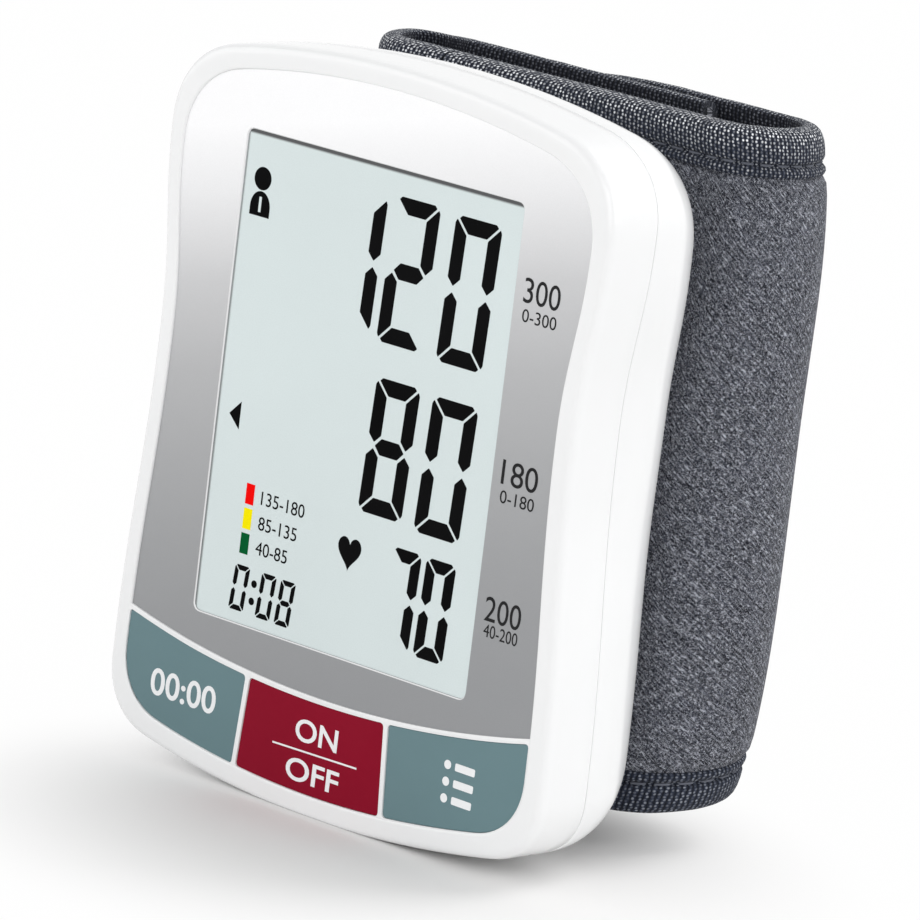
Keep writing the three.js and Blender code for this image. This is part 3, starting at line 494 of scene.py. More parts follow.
    @staticmethod
    def grid(name: str, rows: Sequence[Sequence[Vector]],
             lengths: tuple[Sequence[float], Sequence[float]] | None = None) -> Object:
        """Adds a grid and moves its corners onto rows of points, with a map in metres.

        Args:
            name: name of the new object.
            rows: rows of equal length.
            lengths: distances along the rows' order and along each row, for the map.

        Returns:
            The new object.
        """
        Bench.clear()
        wide = len(rows[0])
        bpy.ops.mesh.primitive_grid_add(
            x_subdivisions=wide - 1, y_subdivisions=len(rows) - 1, size=MM, calc_uvs=True, location=(0, 0, 0))
        obj = Bench.named(name)
        for i, vertex in enumerate(obj.data.vertices):
            vertex.co = rows[i // wide][i % wide]
        if lengths is not None:
            layer = obj.data.uv_layers.active
            layer.name = "cloth"
            for loop in obj.data.loops:
                i = loop.vertex_index
                layer.data[loop.index].uv = (lengths[0][i // wide] * MM, lengths[1][i % wide] * MM)
        return obj

    @staticmethod
    def tube(name: str, rings: Sequence[Sequence[Vector]]) -> Object:
        """A closed run of rings with its ends filled.

        Args:
            name: name of the new object.
            rings: rings of equal length, each without its closing point.

        Returns:
            The new object.
        """
        obj = Bench.grid(name, [[*ring, ring[0]] for ring in rings])
        return Bench.tidy(obj, merge=1e-7, fill=True)

    @staticmethod
    def apply(obj: Object, kind: str, **values: object) -> Object:
        """Adds a modifier and applies it.

        Args:
            obj: the object to change.
            kind: kind of the modifier.
            values: its settings.

        Returns:
            The same object.
        """
        Bench.use(obj)
        modifier = obj.modifiers.new(kind.lower(), kind)
        for key, value in values.items():
            setattr(modifier, key, value)
        bpy.ops.object.modifier_apply(modifier=modifier.name)
        return obj

    @staticmethod
    def boolean(obj: Object, tool: Object, operation: str) -> None:
        """Cuts, joins or crosses a solid with a tool, which is then deleted.

        Args:
            obj: the solid to change.
            tool: the tool solid.
            operation: DIFFERENCE, UNION or INTERSECT.
        """
        Bench.apply(obj, "BOOLEAN", operation=operation, solver="EXACT", object=tool)
        bpy.data.objects.remove(tool)

    @staticmethod
    def copy(obj: Object, name: str) -> Object:
        """A copy of an object with a mesh of its own.

        Args:
            obj: the object to copy.
            name: name of the copy.

        Returns:
            The copy.
        """
        twin = obj.copy()
        twin.data = obj.data.copy()
        twin.name = twin.data.name = name
        bpy.context.collection.objects.link(twin)
        return twin

    @staticmethod
    def join(obj: Object, others: Sequence[Object]) -> Object:
        """Joins other objects into the first one.

        Args:
            obj: the object that stays.
            others: the objects that go into it, if any.

        Returns:
            The object that stays.
        """
        if others:
            Bench.use(obj, *others)
            bpy.ops.object.join()
        return obj

    @staticmethod
    def soften(obj: Object, degrees: float = 40.0) -> Object:
        """Shades an object smooth, apart from its sharp edges.

        Args:
            obj: the mesh object.
            degrees: an edge that turns more than this stays sharp.

        Returns:
            The same object.
        """
        Bench.use(obj)
        bpy.ops.object.shade_smooth_by_angle(angle=math.radians(degrees))
        return obj

    @staticmethod
    def dress(obj: Object, body: str, slot: str, *materials: Material) -> Object:
        """Gives a piece its finish and the body that it moves with.

        Args:
            obj: the piece.
            body: name of the body, or nothing to leave the piece unattached.
            slot: the record's slot; not used.
            materials: its materials, in the order of its slots.

        Returns:
            The piece.
        """
        if not obj.data.materials:
            for material in materials:
                obj.data.materials.append(material)
        if body:
            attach(obj, body)
        LOG.info("piece %s: %d faces", obj.name, len(obj.data.polygons))
        return obj


class Nodes:
    """A node tree under construction."""

    def __init__(self, tree: bpy.types.NodeTree) -> None:
        """Keeps the tree that the nodes go into."""
        self.tree = tree

    def node(self, kind: str, inputs: dict | None = None, **settings: object) -> bpy.types.Node:
        """Adds a node.

        Args:
            kind: its kind, without the usual prefix.
            inputs: values or sockets for its inputs, by name or number.
            settings: its own settings.

        Returns:
            The node.
        """
        made = self.tree.nodes.new("ShaderNode" + kind)
        for key, value in settings.items():
            setattr(made, key, value)
        for key, value in (inputs or {}).items():
            self.feed(made.inputs[key], value)
        return made

    def feed(self, socket: Socket, value: object) -> None:
        """Links a socket to an input, or sets the input's value.

        Args:
            socket: the input.
            value: a socket to link, or a plain value.
        """
        if isinstance(value, Socket):
            self.tree.links.new(value, socket)
        else:
            socket.default_value = value

    def math(self, operation: str, *values: object) -> Socket:
        """Adds a math node.

        Args:
            operation: what it does.
            values: values or sockets for its inputs.

        Returns:
            Its result.
        """
        made = self.node("Math", operation=operation)
        for socket, value in zip(made.inputs, values):
            self.feed(socket, value)
        return made.outputs[0]

    def ease(self, value: Socket, low: float, high: float, start: float = 0.0, end: float = 1.0) -> Socket:
        """Smooth step from one result to another, as a value goes from low to high."""
        return self.node("MapRange", {0: value, 1: low, 2: high, 3: start, 4: end},
                         interpolation_type="SMOOTHSTEP").outputs[0]


class Shader(Nodes):
    """A material under construction."""

    def __init__(self, name: str) -> None:
        """Starts a material with its principled shader.

        Args:
            name: name of the material.
        """
        self.material = bpy.data.materials.new(name)
        self.material.use_nodes = True
        super().__init__(self.material.node_tree)
        self.surface = next(n for n in self.tree.nodes if n.type == "BSDF_PRINCIPLED")

    def place(self, scale: Sequence[float] = (1, 1, 1), turn: float = 0.0, cloth: bool = False) -> Socket:
        """Coordinates on a piece, in metres times a scale.

        Args:
            scale: scale on the three axes.
            turn: turn about the third axis, in degrees.
            cloth: whether the piece's own map is read instead of its place.

        Returns:
            The vector socket.
        """
        if cloth:
            source = self.node("UVMap", uv_map="cloth").outputs["UV"]
        else:
            source = self.node("TexCoord").outputs["Object"]
        if turn:
            spin = (0, 0, math.radians(turn))
            source = self.node("Mapping", {"Vector": source, "Rotation": spin}).outputs[0]
        return self.node("Mapping", {"Vector": source, "Scale": tuple(scale)}).outputs[0]

    def noise(self, vector: Socket, scale: float, detail: float = 2.0, rough: float = 0.5) -> Socket:
        """A noise pattern from 0 to 1 on a vector."""
        made = self.node("TexNoise", {"Vector": vector, "Scale": scale, "Detail": detail, "Roughness": rough})
        return made.outputs[0]

    def ramp(self, value: Socket, stops: Sequence[tuple[float, Colour]]) -> Socket:
        """Colours along a value.

        Args:
            value: the value from 0 to 1.
            stops: place and colour of each stop.

        Returns:
            The colour socket.
        """
        made = self.node("ValToRGB", {0: value})
        band = made.color_ramp
        while len(band.elements) < len(stops):
            band.elements.new(0.5)
        for element, (place, colour) in zip(band.elements, stops):
            element.position = place
            element.color = (*colour, 1)
        return made.outputs[0]

    def blend(self, share: object, first: object, second: object) -> Socket:
        """Mixes two colours.

        Args:
            share: how much of the second one.
            first: a colour or its socket.
            second: a colour or its socket.

        Returns:
            The colour socket.
        """
        made = self.node("Mix", data_type="RGBA")
        self.feed(made.inputs[0], share)
        for socket, value in ((made.inputs[6], first), (made.inputs[7], second)):
            self.feed(socket, (*value, 1) if isinstance(value, tuple) else value)
        return made.outputs[2]

    def multiply(self, first: Socket, second: Socket) -> Socket:
        """Multiplies two colours."""
        made = self.node("Mix", {0: 1.0, 6: first, 7: second}, data_type="RGBA", blend_type="MULTIPLY")
        return made.outputs[2]

    def bump(self, height: Socket, strength: float, distance: float) -> None:
        """Raises the surface by a pattern, its height in millimetres."""
        made = self.node("Bump", {"Height": height, "Strength": strength, "Distance": distance * MM})
        self.tree.links.new(made.outputs[0], self.surface.inputs["Normal"])

    def set(self, **values: object) -> None:
        """Sets or links inputs of the principled shader, with _ for a space."""
        for key, value in values.items():
            self.feed(self.surface.inputs[key.replace("_", " ")], value)


class Grain(Enum):
    """Surface of a moulded or metal piece: how fine its grain is and how strong."""

    POLISHED = (260, 0.02)
    SPARK = (5200, 0.16)
    SATIN = (2600, 0.08)
    BRUSHED = (900, 0.12)


@dataclass(frozen=True)
class Moulded:
    """Plastic, rubber or metal with a fine surface and a slight change of colour."""

    name: str
    colour: Colour
    rough: float = 0.35
    grain: Grain = Grain.SATIN
    metal: float = 0.0
    coat: float = 0.0
    shift: float = 0.04
    shine: float = 0.5

    def make(self) -> Material:
        """Builds the finish.

        Returns:
            The material.
        """
        s = Shader(self.name)
        place = s.place((1, 1, 40 if self.grain is Grain.BRUSHED else 1))
        broad = s.noise(s.place(), 55, 3)
        count, strength = self.grain.value
        fine = s.noise(place, count, 2)
        dark = tuple(c * (1 - self.shift) for c in self.colour)
        light = tuple(min(1.0, c * (1 + self.shift)) for c in self.colour)
        s.set(Base_Color=s.ramp(broad, ((0.3, dark), (0.7, light))), Metallic=self.metal,
              Specular_IOR_Level=self.shine)
        spread = 0.03 if self.grain is Grain.POLISHED else 0.08
        s.set(Roughness=s.math("ADD", s.math("MULTIPLY", fine, spread), self.rough - spread / 2))
        if self.coat:
            s.set(Coat_Weight=self.coat, Coat_Roughness=0.06)
        s.bump(fine, strength, 0.05)
        return s.material


@dataclass(frozen=True)
class FacePaint:
    """Face panel: silver-grey lacquer that fades to white towards its top."""

    name: str = "face_lacquer"
    low: float = 15.0
    high: float = 80.0
    stops: tuple[tuple[float, float], ...] = (
        (0.0, 0.286), (0.12, 0.302), (0.24, 0.33), (0.39, 0.38), (0.54, 0.452), (0.69, 0.578), (0.84, 0.815),
        (0.96, 0.96))
    slope: float = 3.3

    def make(self) -> Material:
        """Builds the finish.

        Returns:
            The material.
        """
        s = Shader(self.name)
        axes = s.node("SeparateXYZ", {0: s.place()})
        low, span = DATUM.foot + self.low * MM, (self.high - self.low) * MM
        rise = s.math("DIVIDE", s.math("SUBTRACT", axes.outputs[2], low), span)
        lean = s.math("SUBTRACT", rise, s.math("MULTIPLY", axes.outputs[0], self.slope))
        colour = s.ramp(lean, [(p, (v * (0.975 + 0.02 * p), v * 0.995, v * (1.03 - 0.025 * p)))
                               for p, v in self.stops])
        flake = s.noise(s.place(), 9000, 1)
        tone = s.ramp(flake, ((0.3, (0.97, 0.97, 0.97)), (0.7, (1.0, 1.0, 1.0))))
        rough = s.math("ADD", s.math("MULTIPLY", flake, 0.06), 0.3)
        s.set(Base_Color=s.multiply(colour, tone), Roughness=rough)
        s.bump(flake, 0.03, 0.02)
        return s.material


@dataclass(frozen=True)
class ScreenFilm:
    """Display behind its clear window: pale grey-green film, with painted shadow darkening its upper and left
    edges.
    """

    name: str = "display_film"
    colour: Colour = (0.652, 0.733, 0.735)
    # dark is the colour of the painted shadow along the window's upper and left edges
    dark: Colour = (0.03, 0.032, 0.035)
    top_shadow_band: Point = (0.62, 0.3)
    left_shadow_band: Point = (0.34, 0.12)

    def make(self) -> Material:
        """Builds the finish.

        Returns:
            The material.
        """
        s = Shader(self.name)
        axes = s.node("SeparateXYZ", {0: s.place()})
        wavy = s.noise(s.place(), 420, 2)
        film = s.ramp(s.noise(s.place(), 40, 2), (
            (0.3, tuple(c * 0.975 for c in self.colour)), (0.7, tuple(c * 1.015 for c in self.colour))))
        fleck = s.ramp(s.noise(s.place(), 7000, 1), ((0.35, (0.965, 0.965, 0.965)), (0.65, (1, 1, 1))))
        half, _, top = FacePanel.window
        # Painted shadow: the film darkens towards the window's upper edge, and less towards its left edge,
        # where the panel's edge would shade it.
        shadow_top = s.ease(axes.outputs[2], *(DATUM.foot + (top - v) * MM for v in self.top_shadow_band))
        shadow_left = s.ease(axes.outputs[0], *((v - half) * MM for v in self.left_shadow_band))
        edge = s.math("MAXIMUM", shadow_top, s.math("MULTIPLY", shadow_left, 0.6))
        s.set(Base_Color=s.blend(edge, s.multiply(film, fleck), self.dark), Roughness=0.4,
              Coat_Weight=0.6, Coat_Roughness=0.05)
        s.bump(wavy, 0.02, 0.02)
        return s.material


@dataclass(frozen=True)
class Felt:
    """Loop felt: short curled light fibres over a dark ground, with a slanting twill."""

    name: str = "loop_felt"
    dark: Colour = (0.0088, 0.0098, 0.0146)
    middle: Colour = (0.0325, 0.0352, 0.0468)
    light: Colour = (0.53, 0.55, 0.615)
    slant: float = -50.0
    wale: float = 0.45

    def make(self) -> Material:
        """Builds the finish.

        Returns:
            The material.
        """
        s = Shader(self.name)
        plain = s.place(MAP_MM, cloth=True)
        curls = s.math("MAXIMUM", self.fibre(s, (3000, 3000), 0, 2.6), self.fibre(s, (3600, 3300), 50, 2.2))
        lines = self.fibre(s, (3400, 620), self.slant, 1.5)
        grooves = s.noise(s.place((2900, 360, 1000), turn=self.slant, cloth=True), 1.0, 1)
        grain = s.noise(s.place((4400, 3600, 1000), turn=self.slant, cloth=True), 1.0, 2, 0.6)
        turned = s.place(MAP_MM, turn=self.slant, cloth=True)
        across = s.node("SeparateXYZ", {0: turned}).outputs[0]
        drift = s.math("MULTIPLY", s.noise(plain, 0.9, 2), 7.0)
        twill = s.math("SINE", s.math("MULTIPLY_ADD", across, 2 * math.pi / self.wale, drift))
        body = s.math("ADD", s.math("MULTIPLY", grooves, 0.5), s.math("MULTIPLY", grain, 0.36))
        body = s.math("ADD", body, s.math("MULTIPLY_ADD", twill, 0.055, 0.07))
        body = s.math("ADD", body, s.math("MULTIPLY", s.math("SUBTRACT", s.noise(plain, 0.14, 3), 0.5), 0.14))
        pale = tuple(c * 1.8 for c in self.middle)
        colour = s.ramp(body, ((0.4, self.dark), (0.52, self.middle), (0.66, pale)))
        fibres = s.math("MAXIMUM", curls, s.math("MULTIPLY", lines, 0.95))
        fibres = s.math("MULTIPLY", fibres, s.math("MULTIPLY_ADD", twill, 0.2, 0.8))
        s.set(Base_Color=s.blend(s.math("MULTIPLY", fibres, 0.98), colour, self.light), Roughness=0.92,
              Sheen_Weight=0.1, Sheen_Roughness=0.45, Specular_IOR_Level=0.1)
        s.bump(s.math("ADD", body, s.math("MULTIPLY", fibres, 0.6)), 0.6, 0.16)
        return s.material

    @staticmethod
    def fibre(s: Shader, scale: Point, turn: float, patch: float) -> Socket:
        """Fibres: thin lines where a noise pattern crosses its middle, broken up in patches.

        Args:
            s: the material.
            scale: curls in a metre, across and along the fibres.
            turn: turn of the pattern in degrees.
            patch: patches in a millimetre.

        Returns:
            How much fibre lies at a place.
        """
        place = s.place((*scale, 1000), turn=turn, cloth=True)
        near = s.math("ABSOLUTE", s.math("SUBTRACT", s.noise(place, 1.0, 1, 0.5), 0.5))
        line = s.ease(near, 0.006, 0.034, 1.0, 0.0)
        rough = s.noise(s.place(MAP_MM, turn=turn + 20, cloth=True), patch, 2)
        return s.math("MULTIPLY", line, s.ease(rough, 0.34, 0.64))


@dataclass(frozen=True)
class Knit:
    """Knitted tape: ribbed dark ground with columns of small light loops."""

    name: str
    ground: Colour
    loop: Colour
    step: Point = (0.6, 0.35)
    share: float = 0.95
    plain: float = 1.0
    fold: tuple[float, float, float, float] = (3.4, 6.0, 7.6, 8.9)
    crest: float = 1.0

    def make(self) -> Material:
        """Builds the finish.

        Returns:
            The material.
        """
        s = Shader(self.name)
        place = s.place(MAP_MM, cloth=True)
        axes = s.node("SeparateXYZ", {0: place})
        shake = s.math("MULTIPLY", s.math("SUBTRACT", s.noise(place, 0.8, 2), 0.5), 0.8)
        down = s.math("ADD", s.math("DIVIDE", axes.outputs[1], self.step[1]), shake)
        row = s.math("FLOOR", down)
        along = s.math("ADD", s.math("DIVIDE", axes.outputs[0], self.step[0]), s.math("MULTIPLY", shake, 0.7))
        column = s.math("FLOOR", along)
        odd = s.math("MODULO", s.math("ADD", row, column), 2.0)
        side = s.math("MULTIPLY", s.math("SUBTRACT", odd, 0.5), 0.22)
        across = s.math("SUBTRACT", s.math("SUBTRACT", along, column), 0.5)
        dx = s.math("MULTIPLY", s.math("SUBTRACT", across, side), 3.5)
        dy = s.math("MULTIPLY", s.math("SUBTRACT", s.math("SUBTRACT", down, row), 0.5), 2.25)
        near = s.math("SUBTRACT", 1.0, s.math("ADD", s.math("MULTIPLY", dx, dx), s.math("MULTIPLY", dy, dy)))
        knot = s.math("MAXIMUM", near, 0.0)
        rib = s.math("SUBTRACT", 1.0, s.math("MULTIPLY", s.math("ABSOLUTE", across), 2.0))
        cell = s.node("CombineXYZ", {0: column, 1: row}).outputs[0]
        chance = s.node("TexWhiteNoise", {"Vector": cell}, noise_dimensions="2D").outputs[0]
        chance = s.math("MULTIPLY_ADD", s.math("POWER", chance, 1.1), 0.9, 0.1)
        hair = s.noise(s.place((7000, 3000, 1000), turn=40, cloth=True), 1.0, 2)
        # Ground tone: random hair, plus the rib profile, which paints shade into the grooves between the
        # columns.
        shade = s.math("ADD", s.math("MULTIPLY", hair, 0.6), s.math("MULTIPLY", rib, 0.4))
        deep, pale = (tuple(c * share for c in self.ground) for share in (0.5, 3.0))
        tint = s.ramp(shade, ((0.3, deep), (0.75, pale)))
        # Painted highlight: the loops grow brighter over the crest of the fold, where the tape faces up to
        # the light; plain and crest set their brightness off and on the crest.
        rise, top, fall, end = self.fold
        height = axes.outputs[1]
        before = s.ease(height, rise, top, self.plain, self.crest)
        after = s.ease(height, fall, end, self.crest, self.plain)
        crest_highlight = s.math("MULTIPLY", s.math("MINIMUM", before, after), self.share)
        lit = s.math("MINIMUM", s.math("MULTIPLY", s.math("MULTIPLY", knot, chance), crest_highlight), 1.0)
        s.set(Base_Color=s.blend(lit, tint, self.loop), Roughness=0.85, Sheen_Weight=0.06,
              Sheen_Roughness=0.5, Specular_IOR_Level=0.12)
        s.bump(s.math("ADD", s.math("MULTIPLY", rib, 0.7), s.math("MULTIPLY", knot, 0.6)), 0.6, 0.14)
        return s.material


@dataclass(frozen=True)
class Board:
    """Circuit board: green mask with a fine net of tracks."""

    name: str = "board_mask"
    colour: Colour = (0.012, 0.085, 0.035)

    def make(self) -> Material:
        """Builds the finish.

        Returns:
            The material.
        """
        s = Shader(self.name)
        tones = {key: (*(c * share for c in self.colour), 1)
                 for key, share in (("Color1", 1), ("Color2", 1.25), ("Mortar", 1.9))}
        bricks = s.node("TexBrick", {"Vector": s.place(), "Scale": 420.0, "Mortar Size": 0.06, **tones})
        s.set(Base_Color=bricks.outputs[0], Roughness=0.4)
        s.bump(s.noise(s.place(), 1500, 2), 0.1, 0.05)
        return s.material


FINISHES: dict[str, Moulded | FacePaint | ScreenFilm | Felt | Knit | Board] = {
    "white": Moulded("gloss_white", (0.85, 0.855, 0.86), 0.2, Grain.POLISHED, coat=0.25, shift=0.012),
    # near-white paint for the window's bevel: a painted highlight on a real bevel
    "edge": Moulded("window_edge_highlight", (0.82, 0.825, 0.83), 0.12, Grain.POLISHED, coat=0.4),
    "panel": FacePaint(),
    "display": ScreenFilm(),
    "segment": Moulded("display_segment", (0.0062, 0.0062, 0.0066), 0.6, shift=0.2, shine=0.0),
    "red_bar": Moulded("display_red", (0.88, 0.0045, 0.004), 0.6, shift=0.06, shine=0.0),
    "amber_bar": Moulded("display_amber", (0.93, 0.8, 0.004), 0.6, shift=0.06, shine=0.0),
    "green_bar": Moulded("display_green", (0.0035, 0.1, 0.028), 0.6, shift=0.06, shine=0.0),
    "grey_key": Moulded("grey_key_cap", (0.139, 0.225, 0.244), 0.5, Grain.SPARK, shift=0.03, shine=0.1),
    "red_key": Moulded("red_key_cap", (0.246, 0.0052, 0.021), 0.5, Grain.SPARK, shift=0.04, shine=0.04),
    "ink": Moulded("white_ink", (0.84, 0.85, 0.86), 0.5, shift=0.02),
    "label": Moulded("panel_ink", (0.016, 0.016, 0.017), 0.6, shift=0.2, shine=0.1),
    "felt": Felt(),
    # The next three are one tape: lit, with a painted highlight on its crest, for the upper hems; a dimmer
    # copy, painted shade, for the lower and end hems; a darker copy, painted shade, for its inner faces.
    "tape": Knit("hem_tape", (0.0135, 0.0165, 0.026), (0.95, 0.97, 1.0), plain=0.5, crest=1.5),
    "tape_low": Knit("lower_hem_tape", (0.0135, 0.0165, 0.026), (0.7, 0.74, 0.82), plain=0.44, crest=0.44),
    "tape_inside": Knit("hem_tape_inside", (0.006, 0.007, 0.011), (0.2, 0.21, 0.24)),
    "lining": Knit("inner_lining", (0.016, 0.018, 0.023), (0.16, 0.17, 0.2), (0.9, 0.6), 0.55),
    "thread": Moulded("hem_thread", (0.12, 0.13, 0.16), 0.8, shift=0.25),
    "hook": Moulded("hook_nylon", (0.03, 0.031, 0.034), 0.5, shift=0.15),
    "bladder": Moulded("bladder_film", (0.30, 0.31, 0.33), 0.45, Grain.POLISHED, shift=0.08),
    "clear": Moulded("window_clear", (0.75, 0.8, 0.8), 0.08, Grain.POLISHED, coat=0.5),
    "frame": Moulded("inner_plastic", (0.42, 0.43, 0.44), 0.5, shift=0.06),
    "rubber": Moulded("switch_rubber", (0.05, 0.05, 0.055), 0.7, shift=0.1),
    "black": Moulded("black_plastic", (0.018, 0.018, 0.02), 0.4, shift=0.15),
    "steel": Moulded("bright_steel", (0.6, 0.6, 0.59), 0.28, Grain.BRUSHED, metal=1.0, shift=0.05),
    "silicone": Moulded("hose_silicone", (0.62, 0.62, 0.6), 0.4, Grain.POLISHED, shift=0.05),
    "cell": Moulded("cell_sleeve", (0.30, 0.32, 0.34), 0.3, Grain.BRUSHED, metal=0.6, shift=0.06),
    "board": Board(),
}


class Finishes:
    """All finishes, each built once."""

    def __init__(self) -> None:
        """Builds the materials."""
        self.made = {key: finish.make() for key, finish in FINISHES.items()}

    def __getitem__(self, key: str) -> Material:
        """The finish of a slot or of a detail."""
        return self.made[key]

    def dress_nodes(self) -> None:
        """Gives every CAD node that still shows the finish of its slot."""
        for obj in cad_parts.values():
            finish = self[obj.data.materials[0].name.split(".")[0]]
            obj.data.materials.clear()
            obj.data.materials.append(finish)


@dataclass
class FrontShell:
    """Front half of the case: a rolled rim round the face, and the white ribs round the keys."""

    finishes: Finishes
    rim_levels: tuple[Point, ...] = (
        (6.97, 1.8), (6.97, 0.07), (6.95, 0.02), (6.9, 0.0), (5.0, 0.0), (3.2, 0.0), (1.5, 0.0), (0.9, 0.01),
        (0.55, 0.05), (0.3, 0.12), (0.12, 0.22), (-0.04, 0.36), (-0.15, 0.52), (-0.22, 0.72), (-0.25, 0.95),
        (-0.26, 1.5), (-0.26, 2.2), (-0.25, 2.42), (-0.2, 2.54), (-0.1, 2.6), (0.6, 2.6), (2.4, 2.6),
        (2.4, 1.8), (6.97, 1.8))
    rib_front: float = -0.25
    rib_back: float = 2.3
    rib_half: float = 0.3
    rib_bevel: float = 0.07
    under_rim: float = 0.06
    field_lift: float = 0.5
    room: Point = (-3.0, 6.0)

    def build(self) -> None:
        """Builds the rim and the ribs."""
        obj = Bench.loft("front_shell", self.rim_levels, closed=True)
        Bench.stand(obj)
        Bench.join(obj, [self.ribs()])
        for vertex in obj.data.vertices:
            vertex.co.x = CASE.squeeze(vertex.co.x / MM) * MM
        Bench.soften(obj, 38)
        Bench.dress(obj, "case", "white", self.finishes["white"])
        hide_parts("front_case")

    def ribs(self) -> Object:
        """White field under the curved line, with a room in it for each key.

        Returns:
            The field.
        """
        outline = CASE.outline(CASE.rim - self.under_rim)
        lower = sorted((x, z) for x, z in outline if z < CASE.arch(x, self.field_lift))
        line = CASE.arch_line(lower[-1][0], lower[0][0], CASE.panel_lift, 60)
        field = Bench.prism("key_field", lower + line, self.rib_front, self.rib_back)
        keys = Keys(self.finishes)
        for side in (-1, 0, 1):
            room = Bench.prism("key_room", rounded(keys.shape(side, 0.0), keys.corner), *self.room)
            Bench.boolean(field, room, "DIFFERENCE")
        return Bench.apply(field, "BEVEL", width=self.rib_bevel * MM, segments=2, limit_method="ANGLE",
                           angle_limit=math.radians(60))


@dataclass
class RearShell:
    """Rear half of the case with its screw wells, and the battery cover in its side."""

    finishes: Finishes
    door: tuple[Point, Point] = ((7.9, 19.2), (25.0, 72.5))
    door_gap: float = 0.22
    door_corner: float = 1.6
    door_reach: Point = (45, 20)
    wells: tuple[Triple, ...] = ((24, 77.4, 12), (-24, 77.4, 12), (26, 5.8, 10), (-26, 5.8, 10))
    well_radius: float = 2.2
    well_back: float = 30.0
    boss_radius: float = 3.4
    boss_lift: float = -1.6
    boss_skin: float = 0.9
    full: Triple = (1.0, 17.0, 15.0)
    full_from: float = 12.0

    def dome(self, inset: float, steps: int) -> list[Point]:
        """Depth and inset of the domed back, from the seam to the back.

        Args:
            inset: how far inside the outer face it lies.
            steps: number of levels.

        Returns:
            The levels.
        """
        deep = CASE.back - CASE.seam - inset
        turns = [math.pi / 2 * i / steps for i in range(1, steps + 1)]
        return [(CASE.seam + deep * math.sin(a), inset + CASE.back_round * (1 - math.cos(a))) for a in turns]

    def build(self) -> None:
        """Builds the shell and the cover."""
        inner = self.dome(CASE.wall, 12)
        seam = CASE.seam + CASE.seam_gap
        levels = [*reversed(inner), (seam, CASE.wall), (seam, 0.07), (seam + 0.02, 0.02), (seam + 0.07, 0.0)]
        shell = Bench.loft("rear_shell", levels + self.dome(0.0, 30), closed=False)
        Bench.stand(shell)
        hidden = len(CASE.outline()) * (len(inner) + 1)
        for vertex in shell.data.vertices:
            self.fill_out(vertex, vertex.index >= hidden)
        cover = Bench.copy(shell, "cover_shell")
        Bench.boolean(shell, self.door_block("door_cut", 0.0), "DIFFERENCE")
        Bench.boolean(cover, self.door_block("door_keep", self.door_gap), "INTERSECT")
        bosses = self.posts("screw_bosses", self.boss_radius, self.boss_lift)
        levels = [(CASE.seam, self.boss_skin), *self.dome(self.boss_skin, 20)]
        core = Bench.loft("boss_core", levels, closed=False)
        for vertex in core.data.vertices:
            self.fill_out(vertex, False)
        Bench.boolean(bosses, core, "INTERSECT")
        Bench.boolean(shell, bosses, "UNION")
        Bench.boolean(shell, self.posts("screw_wells", self.well_radius, 0.0), "DIFFERENCE")
        for obj, body, node in ((shell, "case", "rear_case"), (cover, "cover", "battery_cover")):
            Bench.soften(obj, 32)
            Bench.dress(obj, body, "white", self.finishes["white"])
            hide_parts(node)

    def fill_out(self, vertex: bpy.types.MeshVertex, outside: bool) -> None:
        """Fills the rear half out at the waist, and brings its left-hand face in.

        Args:
            vertex: the corner to move.
            outside: whether it lies on the outer face.
        """
        most, deep, span = self.full
        x, y, z = vertex.co.x / MM, (vertex.co.y - DATUM.face) / MM, (vertex.co.z - DATUM.foot) / MM
        wider = most * smooth(y, CASE.seam, deep) * math.exp(-((z - CASE.waist_height) / span) ** 2)
        x += math.copysign(wider, x) * min(1.0, abs(x) / self.full_from)
        vertex.co.x = (CASE.squeeze(x) if outside else x) * MM

    def door_block(self, name: str, gap: float) -> Object:
        """A block as large as the door, its corners rounded, less a gap all round.

        Args:
            name: name of the block.
            gap: how much smaller it is.

        Returns:
            The block.
        """
        (near, far), (low, high) = self.door
        ring = rounded([(near + gap, low + gap), (far - gap, low + gap), (far - gap, high - gap),
                        (near + gap, high - gap)], self.door_corner)
        outside, inside = self.door_reach
        return Bench.plate(name, [DATUM.at(-outside, y, z) for y, z in ring],
                           ((outside - inside - gap) * MM, 0, 0))

    def posts(self, name: str, radius: float, lift: float) -> Object:
        """Round posts on the screw axes, from each screw's seat backwards.

        Args:
            name: name of the object that holds them all.
            radius: their radius.
            lift: how far behind the seat they start.

        Returns:
            The posts, as one object.
        """
        made = [Bench.prism(name, circle(x, z, radius, 40), seat + lift, self.well_back)
                for x, z, seat in self.wells]
        return Bench.join(made[0], made[1:])


